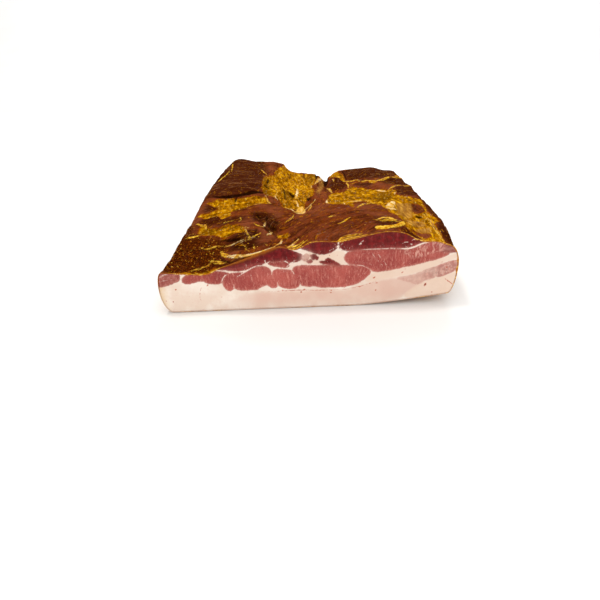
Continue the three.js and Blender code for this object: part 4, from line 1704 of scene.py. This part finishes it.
        # Near-black painted shade in the creases.
        crease = effects.mask(sheet, Tissue.CREASE, place, 0.4, 0.9, 0.7)
        coat.lay(self.crease, sheet.times(crease, 0.9))
        cream = effects.mask(sheet, Tissue.CREAM, place, 0.4, 0.8, 0.35)
        cream_color = sheet.blend(sheet.ramp(fibres["Streaks"], 0.4, 0.85), self.cream, self.cream_light)
        coat.lay(cream_color, sheet.times(cream, sheet.ramp(fine["Streaks"], 0.15, 0.6, 0.35, 1)))
        behind_cut = sheet.add("ShaderNodeSeparateXYZ", {0: place}).outputs[1]
        waver = sheet.noise(place, 0.25, 4, 0.7)
        edge_end = sheet.ramp(waver, 0.35, 0.7, self.edge_narrow, self.edge_wide)
        edge = sheet.ramp(behind_cut, edge_end, self.edge_start)
        edge_color = sheet.blend(sheet.ramp(patchy, 0.4, 0.6), self.lean_orange, self.fat_light)
        coat.lay(edge_color, sheet.times(edge, sheet.attribute("edge_gold")))

        wet_spots = sheet.ramp(sheet.noise(place, 0.7, 4, 0.7), 0.6, 0.68)
        wet_fat = sheet.times(sheet.math("MAXIMUM", fat_mark["Mask"], strand), 0.2)
        sheet.feed(finish.sockets["Coat Weight"], sheet.times(wet_spots, sheet.plus(0.3, wet_fat)))
        height = sheet.plus(sheet.times(fibres["Streaks"], 0.26), sheet.times(fine["Streaks"], 0.16))
        height = sheet.plus(height, sheet.times(patchy, 0.6))
        height = sheet.plus(height, sheet.times(fat_mark["Mask"], sheet.times(beads["Beads"], 0.55)))
        height = sheet.plus(height, sheet.times(sheet.times(granules, grit), 1.4))
        height = sheet.plus(height, sheet.times(sheet.plus(strand, cream), 0.35))
        height = sheet.minus(height, sheet.times(crease, 0.4))
        return finish.close(effects, coat.color, height, 1.0, self.wet, self.dry)


@dataclass(frozen=True)
class CutFinish:
    """The fresh cut: rose and deep red muscles in cream and pink fat, with a smoked rim."""

    rose: Color = paint(188, 92, 82)
    rose_light: Color = paint(222, 148, 130)
    rose_dark: Color = paint(164, 72, 66)
    deep: Color = paint(128, 16, 20)
    deep_dark: Color = paint(90, 4, 8)
    mauve: Color = paint(170, 108, 100)
    fat: Color = paint(240, 218, 200)
    fat_light: Color = paint(250, 236, 222)
    pink: Color = paint(232, 196, 178)
    pink_deep: Color = paint(218, 170, 156)
    cream: Color = paint(238, 208, 186)
    sinew: Color = paint(244, 222, 206)
    sinew_rose: Color = paint(226, 170, 152)
    old_fat: Color = paint(226, 190, 138)
    speck: Color = paint(196, 84, 40)
    smoke: Color = paint(104, 36, 10)
    smoke_light: Color = paint(160, 84, 6)
    gold: Color = paint(180, 100, 6)
    gold_light: Color = paint(236, 190, 90)
    wet: float = 0.3
    dry: float = 0.48

    def build(self, effects: Effects) -> Material:
        """Builds the material.

        Args:
            effects: The shared groups.

        Returns:
            The material.
        """
        finish = Finish("cut meat", coat_weight=0.05, coat_roughness=0.3, specular_ior_level=0.1)
        sheet = finish.sheet
        place = sheet.place()
        at = sheet.add("ShaderNodeSeparateXYZ", {0: place}).outputs
        upright = sheet.add("ShaderNodeCombineXYZ", {0: at[2], 1: at[0], 2: 0.0}).outputs[0]
        fibres = sheet.group(effects.fibres, place=upright, fineness=2.0, stretch=5.0)
        broad = sheet.noise(place, 0.07, 3, 0.5)
        fine = sheet.noise(place, 1.1, 3, 0.7)
        mottle = sheet.noise(place, 0.32, 4, 0.65)

        coat = Coat(sheet, self.fat)
        coat.veil(self.fat_light, broad, 0.4, 0.66)
        coat.veil(self.pink, mottle, 0.5, 0.72, 0, 0.3)
        pink = Coat(sheet, self.pink)
        pink.veil(self.fat, broad, 0.36, 0.7, 0, 0.5)
        pink.veil(self.pink_deep, at[0], 36, 74, 0, 0.3)
        pink_share = sheet.times(sheet.ramp(at[0], -70, -30), sheet.ramp(at[2], 0, 9, 0.45, 1))
        coat.lay(pink.color, sheet.times(effects.mask(sheet, Cut.PINK, place, 0.3, 1.2, 1.8), pink_share))
        coat.veil(self.cream, sheet.depth(Cut.CREAM), -0.8, 1.2, 0, 0.75)
        coat.veil(self.pink, fine, 0.58, 0.74, 0, 0.3)
        coat.veil(self.old_fat, sheet.plus(at[0], sheet.times(mottle, 8)), -90, -98, 0, 0.75)

        lean = effects.torn(sheet, sheet.plus(sheet.depth(Cut.LEAN), 0.45), place, 0.6, 0.8, 0.42)
        red = sheet.attribute("cut_red")
        pale_share = sheet.minus(1, sheet.times(red, 0.9))
        meat = Coat(sheet, self.rose_dark)
        meat.veil(self.rose, broad, 0.36, 0.64)
        meat.veil(self.rose_light, fibres["Streaks"], 0.5, 1, 0, 0.42)
        meat.veil(self.rose_dark, fibres["Streaks"], 0.34, 0.04, 0, 0.45)
        meat.lay(sheet.blend(sheet.ramp(mottle, 0.38, 0.66), self.deep_dark, self.deep), red)
        pale = sheet.blend(sheet.ramp(mottle, 0.4, 0.64), self.mauve, self.pink)
        meat.lay(pale, sheet.attribute("cut_grey"))
        meat.lay(self.rose_light, sheet.times(sheet.ramp(fine, 0.56, 0.72, 0, 0.42), pale_share))
        meat.veil(self.deep_dark, fine, 0.44, 0.3, 0, 0.4)
        meat.lay(self.rose_light, sheet.times(sheet.ramp(lean["Depth"], 1.6, 0.2, 0, 0.3), pale_share))
        stripes = sheet.noise(sheet.scaled(upright, (0.22, 1, 1)), 0.8, 3, 0.6, 0.4)
        meat.lay(self.rose_light, sheet.times(sheet.ramp(stripes, 0.57, 0.68, 0, 0.62), pale_share))
        coat.lay(meat.color, sheet.times(lean["Mask"], sheet.minus(1, sheet.attribute("cut_faint"))))

        threads = sheet.ramp(fibres["Threads"], 0.3, 1)
        marbled = sheet.times(threads, sheet.ramp(sheet.noise(place, 0.2, 3, 0.6), 0.5, 0.62, 0, 0.75))
        marbled = sheet.times(marbled, sheet.ramp(lean["Depth"], 6, 0.5, 0.15, 1))
        coat.lay(self.sinew, sheet.times(marbled, lean["Mask"]))
        feather = sheet.ramp(sheet.depth(Cut.FEATHER), -0.5, 1.5)
        coat.lay(sheet.blend(0.4, coat.color, self.rose_dark), sheet.times(feather, lean["Mask"]))
        plumes = sheet.noise(sheet.scaled(place, (1, 1, 0.4)), 0.5, 5, 0.72, 1.2)
        coat.lay(self.sinew_rose, sheet.times(feather, sheet.ramp(plumes, 0.47, 0.58, 0, 0.8)))
        sinew = effects.mask(sheet, Cut.SINEW, place, 0.7, 0.5, 0.25)
        coat.lay(self.sinew, sinew)
        speck = effects.torn(sheet, sheet.plus(sheet.depth(Cut.SPECK), 0.1), place, 1.0, 0.4, 0.2)
        speck_color = sheet.blend(sheet.ramp(speck["Depth"], 0.15, 0.5), self.speck, self.deep_dark)
        coat.lay(speck_color, sheet.times(speck["Mask"], 0.9))
        dust = sheet.ramp(sheet.noise(place, 0.62, 2, 0.5), 0.74, 0.79, 0, 0.5)
        coat.lay(self.speck, sheet.times(dust, sheet.minus(1, lean["Mask"])))

        smoke = sheet.plus(sheet.attribute("cut_smoke"), sheet.times(sheet.minus(mottle, 0.5), 0.7))
        smoke_color = sheet.blend(sheet.ramp(smoke, 0.3, 0.9), self.smoke, self.smoke_light)
        smoke_share = sheet.ramp(sheet.ramp(at[2], 9, 26), 0, 1, 0.35, 0.95)
        coat.lay(smoke_color, sheet.times(sheet.ramp(smoke, 0.08, 0.42), smoke_share))
        gold = sheet.attribute("cut_gold")
        width = sheet.times(sheet.ramp(sheet.noise(place, 0.35, 4, 0.7), 0.36, 0.62, 0.3, 1.5), gold)
        rim = sheet.ramp(sheet.minus(width, sheet.attribute("cut_rim")), -0.1, 0.25)
        rim_glow = sheet.ramp(sheet.noise(place, 0.6, 3, 0.6), 0.45, 0.62)
        rim_color = sheet.blend(rim_glow, self.gold, self.gold_light)
        coat.lay(rim_color, sheet.times(rim, sheet.ramp(gold, 0, 0.6, 0.4, 0.95)))

        height = sheet.plus(sheet.times(fine, 0.14), sheet.times(mottle, 0.3))
        height = sheet.plus(height, sheet.times(sinew, 0.08))
        height = sheet.minus(height, sheet.times(lean["Mask"], 0.12))
        return finish.close(effects, coat.color, height, 0.7, self.wet, self.dry)


@dataclass(frozen=True)
class StrandFinish:
    """Threads and beads of fat that lie on the crust."""

    name: str
    dark: Color
    body: Color
    light: Color
    wet: float = 0.2
    dry: float = 0.4

    def build(self, effects: Effects) -> Material:
        """Builds the material.

        Args:
            effects: The shared groups.

        Returns:
            The material.
        """
        finish = Finish(self.name, coat_weight=0.06, coat_roughness=0.12, specular_ior_level=0.06)
        sheet = finish.sheet
        place = sheet.place()
        beads = sheet.group(effects.fat_beads, place=place, size=2.0)
        coat = Coat(sheet, self.dark)
        coat.veil(self.body, beads["Beads"], 0, 0.6)
        coat.veil(self.light, sheet.noise(place, 0.3, 4, 0.6), 0.5, 0.68)
        height = sheet.times(sheet.noise(place, 1.2, 3, 0.6), 0.3)
        return finish.close(effects, coat.color, height, 0.8, self.wet, self.dry)


GOLD = StrandFinish("golden fat", paint(116, 60, 2), paint(186, 120, 4), paint(236, 182, 48))
CREAM = StrandFinish("cream fat", paint(176, 104, 14), paint(224, 166, 58), paint(250, 222, 150))


class GeometrySheet(Sheet):
    """Builds a geometry node tree with named inputs."""

    def __init__(self, name: str, inputs: dict[str, str]) -> None:
        """Starts the tree.

        Args:
            name: The tree's name.
            inputs: Each input's kind by its name, after the geometry.
        """
        super().__init__(bpy.data.node_groups.new(name, "GeometryNodeTree"))
        self.tree.is_modifier = True
        self.sockets = {}
        for label, kind in {"Geometry": "Geometry", **inputs}.items():
            socket = self.tree.interface.new_socket(label, in_out="INPUT", socket_type=f"NodeSocket{kind}")
            self.sockets[label] = socket.identifier
        self.tree.interface.new_socket("Geometry", in_out="OUTPUT", socket_type="NodeSocketGeometry")
        self.given = self.add("NodeGroupInput").outputs

    def named(self, name: str) -> Socket:
        """Returns a number that the geometry holds."""
        node = self.add("GeometryNodeInputNamedAttribute", {"Name": name}, data_type="FLOAT")
        return node.outputs["Attribute"]

    def chance(self, low: Feed, high: Feed, seed: Feed) -> Socket:
        """Returns a random number for each element."""
        feeds = {2: low, 3: high, 8: seed}
        return self.add("FunctionNodeRandomValue", feeds, data_type="FLOAT").outputs[1]

    def end(self, geometry: Socket) -> None:
        """Closes the tree with realized, smooth geometry in its material.

        Args:
            geometry: What the tree has made.
        """
        real = self.add("GeometryNodeRealizeInstances", {0: geometry}).outputs[0]
        smooth = self.add("GeometryNodeSetShadeSmooth", {"Geometry": real}).outputs[0]
        done = self.add("GeometryNodeSetMaterial", {"Geometry": smooth, "Material": self.given["Material"]})
        self.add("NodeGroupOutput", {0: done.outputs[0]})

    def apply(self, piece: Object, values: dict[str, object]) -> Object:
        """Runs the tree on an object and keeps the result as a plain mesh.

        Args:
            piece: The object, whose mesh is replaced.
            values: What the named inputs get.

        Returns:
            The object.
        """
        modifier = piece.modifiers.new(self.tree.name, "NODES")
        modifier.node_group = self.tree
        for label, value in values.items():
            modifier[self.sockets[label]] = value
        graph = bpy.context.evaluated_depsgraph_get()
        mesh = bpy.data.meshes.new_from_object(piece.evaluated_get(graph), depsgraph=graph)
        piece.modifiers.remove(modifier)
        old = piece.data
        piece.data = mesh
        bpy.data.meshes.remove(old)
        mesh.name = piece.name
        return piece


@dataclass
class Granules:
    """Beads of fat that the smoke left on the crust. Sizes are in mm."""

    density: float = 0.2
    smallest: float = 0.12
    largest: float = 0.42
    flatness: float = 0.6
    longest: float = 1.9
    seed: int = 7

    def tree(self) -> GeometrySheet:
        """Builds the tree that scatters beads over a mesh by its granule share.

        Returns:
            The tree.
        """
        numbers = ("Density", "Smallest", "Largest", "Longest", "Flatness")
        inputs = {**dict.fromkeys(numbers, "Float"), "Seed": "Int", "Material": "Material"}
        sheet = GeometrySheet("fat granules", inputs)
        given = sheet.given
        density = sheet.times(given["Density"], sheet.named("granule_share"))
        feeds = {"Mesh": given["Geometry"], "Density": density, "Seed": given["Seed"]}
        points = sheet.add("GeometryNodeDistributePointsOnFaces", feeds, distribute_method="RANDOM").outputs
        bead = sheet.add("GeometryNodeMeshIcoSphere", {"Radius": 1.0, "Subdivisions": 2}).outputs["Mesh"]
        size = sheet.chance(given["Smallest"], given["Largest"], given["Seed"])
        stretch = sheet.times(size, sheet.chance(1.0, given["Longest"], 3))
        flat = sheet.times(size, given["Flatness"])
        scale = sheet.add("ShaderNodeCombineXYZ", {0: stretch, 1: size, 2: flat})
        feeds = {"Points": points["Points"], "Instance": bead, "Rotation": points["Rotation"]}
        beads = sheet.add("GeometryNodeInstanceOnPoints", {**feeds, "Scale": scale.outputs[0]})
        sheet.end(beads.outputs[0])
        return sheet

    def build(self, slab: Object, finish: Material) -> Object:
        """Scatters the beads over the slab.

        Args:
            slab: The slab, which holds the granule share.
            finish: The beads' material.

        Returns:
            The beads as one piece.
        """
        piece = bpy.data.objects.new("fat_granules", slab.data.copy())
        bpy.context.scene.collection.objects.link(piece)
        shape = {"Longest": self.longest, "Flatness": self.flatness, "Seed": self.seed, "Material": finish}
        sizes = {"Smallest": self.smallest * MM, "Largest": self.largest * MM}
        return self.tree().apply(piece, {"Density": self.density / MM**2, **sizes, **shape})


@dataclass
class Strands:
    """Threads of fat along the seams, the crescents and the lip. Sizes are in mm."""

    step: float = 1.0
    wander: float = 0.9
    thickness_share: float = 0.42
    sunk_share: float = 0.35
    side_limit: float = 97
    front_limit: float = -113.5
    back_limit: float = 104
    blunt_end: float = 0.06
    sides: int = 7
    seed: int = 5

    def tree(self) -> GeometrySheet:
        """Builds the tree that turns lines into threads that wander and vary in thickness.

        Returns:
            The tree.
        """
        numbers = {"Step": "Float", "Wander": "Float", "Sides": "Int", "Seed": "Float"}
        sheet = GeometrySheet("fat strands", {**numbers, "Material": "Material"})
        given = sheet.given
        curve = sheet.add("GeometryNodeMeshToCurve", {"Mesh": given["Geometry"]}).outputs[0]
        feeds = {"Curve": curve, "Length": given["Step"]}
        curve = sheet.add("GeometryNodeResampleCurve", feeds, mode="LENGTH").outputs[0]
        at = sheet.add("GeometryNodeInputPosition").outputs[0]
        feeds = {"Vector": at, "Scale": 0.22 / MM, "Detail": 3.0, "Roughness": 0.6, "W": given["Seed"]}
        wave = sheet.add("ShaderNodeTexNoise", feeds, noise_dimensions="4D").outputs
        centred = sheet.vector("SUBTRACT", wave["Color"], (0.5, 0.5, 0.5))
        feeds = {0: sheet.scaled(centred, (4.0, 4.0, 1.0)), "Scale": given["Wander"]}
        offset = sheet.add("ShaderNodeVectorMath", feeds, operation="SCALE").outputs[0]
        curve = sheet.add("GeometryNodeSetPosition", {"Geometry": curve, "Offset": offset}).outputs[0]
        ring = sheet.add("GeometryNodeCurvePrimitiveCircle", {"Resolution": given["Sides"], "Radius": 1.0})
        thickness = sheet.times(sheet.named("thickness"), sheet.ramp(wave["Fac"], 0.3, 0.7, 0.35, 1.5))
        feeds = {"Curve": curve, "Profile Curve": ring.outputs[0], "Scale": thickness, "Fill Caps": True}
        sheet.end(sheet.add("GeometryNodeCurveToMesh", feeds).outputs[0])
        return sheet

    def lines(self, tissue: Tissue) -> list[tuple[Array, float]]:
        """Finds the raised traces of a tissue.

        Args:
            tissue: The tissue.

        Returns:
            Each trace as an even line, with its thread's thickness.
        """
        raised = [mark for mark in CRUST_MARKS[tissue] if isinstance(mark, Trace) and mark.rise > 0]
        widths = [mark.half_width * self.thickness_share for mark in raised]
        return [(self.even(rounded(mark.points, False)), width) for mark, width in zip(raised, widths)]

    def even(self, line: Array) -> Array:
        """Spaces out a line's corners.

        Args:
            line: The line, one corner to a row.

        Returns:
            The same line with its corners an even step apart.
        """
        lengths = np.concatenate([[0], np.cumsum(np.hypot(*np.diff(line, axis=0).T))])
        places = np.linspace(0, lengths[-1], max(int(lengths[-1] / self.step), 2))
        return np.stack([np.interp(places, lengths, values) for values in line.T], axis=1)

    def build(
        self, name: str, slab: Slab, lines: list[tuple[Array, float]], finish: Material
    ) -> Object:
        """Lays threads on the crust along lines.

        Args:
            name: The piece's name.
            slab: The slab that they lie on.
            lines: The lines, each with its thickness.
            finish: The threads' material.

        Returns:
            The threads as one piece.
        """
        points, edges, thickness = [], [], []
        for line, width in lines:
            x, y = line.T
            kept = line[(np.abs(x) < self.side_limit) & (y > self.front_limit) & (y < self.back_limit)]
            if len(kept) < 3:
                continue
            first = sum(len(part) for part in points)
            z = slab.surface(*kept.T) - self.sunk_share * width
            points.append(np.column_stack([kept, z]))
            edges += [(first + i, first + i + 1) for i in range(len(kept) - 1)]
            share = np.linspace(self.blunt_end, 1 - self.blunt_end, len(kept))
            taper = np.sin(np.pi * share) ** 0.5
            thickness.append(width * taper * MM)
        piece = add_mesh(name, np.vstack(points), [])
        mesh = piece.data
        mesh.edges.add(len(edges))
        mesh.edges.foreach_set("vertices", np.array(edges, np.int32).ravel())
        set_values(mesh, "thickness", np.concatenate(thickness))
        mesh.update()
        sizes = {"Step": self.step * MM, "Wander": self.wander * MM, "Sides": self.sides}
        return self.tree().apply(piece, {**sizes, "Seed": float(self.seed), "Material": finish})


@dataclass
class Studio:
    """The floor, the lights and the camera. Sizes are in metres and angles in degrees."""

    camera_at: tuple[float, float, float] = (0.0042817, -0.3743988, 0.151644)
    pitch: float = 29.42789
    yaw: float = 2.26517
    roll: float = 3.434
    lens_pixels: float = 433.0
    picture_pixels: float = 600.0
    sensor: float = 36.0
    floor_width: float = 9.0
    floor_front: float = -4.0
    sweep_start: float = 0.9
    sweep_radius: float = 4.0
    wall_top: float = 6.0
    floor_gap: float = 0.0004

    def build_camera(self) -> None:
        """Puts the camera where the photograph was taken from."""
        pitch, yaw, roll = (math.radians(angle) for angle in (self.pitch, self.yaw, self.roll))
        level = math.cos(pitch)
        ahead = Vector((-math.sin(yaw) * level, math.cos(yaw) * level, -math.sin(pitch)))
        right = Vector((math.cos(yaw), math.sin(yaw), 0))
        down = ahead.cross(right)
        rolled_right = right * math.cos(roll) + down * math.sin(roll)
        rolled_down = down * math.cos(roll) - right * math.sin(roll)
        lens = bpy.data.cameras.new("camera")
        lens.lens = self.lens_pixels / self.picture_pixels * self.sensor
        lens.sensor_width = self.sensor
        lens.clip_start = 0.01
        camera = bpy.data.objects.new("camera", lens)
        bpy.context.scene.collection.objects.link(camera)
        turned = Matrix((rolled_right, -rolled_down, -ahead)).transposed().to_4x4()
        camera.matrix_world = Matrix.Translation(self.camera_at) @ turned
        bpy.context.scene.camera = camera

    def build_floor(self) -> None:
        """Builds the plain pale floor, which sweeps up behind the slab."""
        turn = np.linspace(0, np.pi / 2, 25)
        y = np.concatenate([[self.floor_front], self.sweep_start + self.sweep_radius * np.sin(turn)])
        z = np.concatenate([[0.0], self.sweep_radius * (1 - np.cos(turn))])
        y, z = np.append(y, y[-1]), np.append(z, self.wall_top) - self.floor_gap
        half = self.floor_width / 2
        count = len(y)
        sides = [np.column_stack([np.full(count, side * half), y, z]) for side in (-1, 1)]
        faces = [(i, i + count, i + count + 1, i + 1) for i in range(count - 1)]
        floor = add_mesh("floor", np.vstack(sides) / MM, faces)
        finish = Finish("pale floor", roughness=0.75, specular_ior_level=0.2)
        sheet = finish.sheet
        coat = Coat(sheet, paint(244, 243, 241))
        coat.veil(paint(248, 247, 245), sheet.noise(sheet.place(), 0.004, 2, 0.5), 0.3, 0.7)
        sheet.feed(finish.sockets["Base Color"], coat.color)
        floor.data.materials.append(finish.material)

    def build_lights(self) -> None:
        """Builds the soft lights and the pale surroundings."""
        slab = (0.0, 0.0, 0.03)
        for name, at, aim, size, power, tint in (
            ("front light", (-0.5, -1.5, 1.25), slab, 1.1, 6.0, (1.0, 0.97, 0.93)),
            ("back light", (0.3, 1.15, 1.05), slab, 0.7, 9.0, (0.96, 0.98, 1.0)),
            ("right light", (1.4, -0.2, 1.0), slab, 0.7, 2.5, (1.0, 0.99, 0.97)),
            ("small high light", (-0.35, 0.1, 1.3), slab, 0.22, 5.5, (1.0, 0.98, 0.94)),
            ("wall light", (0.0, 1.6, 2.6), (0.0, 5.0, 1.2), 2.0, 60.0, (1.0, 1.0, 1.0)),
        ):
            lamp = bpy.data.lights.new(name, "AREA")
            lamp.size = size
            lamp.energy = power
            lamp.color = tint
            piece = bpy.data.objects.new(name, lamp)
            bpy.context.scene.collection.objects.link(piece)
            turn = (Vector(aim) - Vector(at)).to_track_quat("-Z", "Y")
            piece.matrix_world = Matrix.Translation(at) @ turn.to_matrix().to_4x4()
        world = bpy.data.worlds.new("surroundings")
        world.use_nodes = True
        background = world.node_tree.nodes["Background"]
        background.inputs["Color"].default_value = (1.0, 1.0, 1.0, 1.0)
        background.inputs["Strength"].default_value = 0.72
        bpy.context.scene.world = world

    def build(self) -> None:
        """Builds the whole studio."""
        self.build_camera()
        self.build_floor()
        self.build_lights()
        view = bpy.context.scene.view_settings
        view.view_transform = "Standard"
        view.look = "None"


def seat(piece: Object) -> None:
    """Puts a finished piece on the slab's body and reports it.

    Args:
        piece: The piece.
    """
    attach(piece, "root")
    log.info("%s: %d faces", piece.name, len(piece.data.polygons))


def main() -> None:
    """Builds the pieces in order."""
    logging.basicConfig(level=logging.INFO, format="%(name)s: %(message)s")
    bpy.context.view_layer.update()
    Studio().build()
    effects = Effects.build()
    slab = Slab(SlabForm())
    skin = slab.build(CutFinish().build(effects), CrustFinish().build(effects))
    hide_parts(NODE)
    seat(skin)
    gold = GOLD.build(effects)
    cream = CREAM.build(effects)
    seat(Granules().build(skin, gold))
    strands = Strands()
    seat(strands.build("golden_strands", slab, strands.lines(Tissue.STRAND), gold))
    seat(strands.build("cream_strands", slab, strands.lines(Tissue.CREAM), cream))


if __name__ == "__main__":
    main()
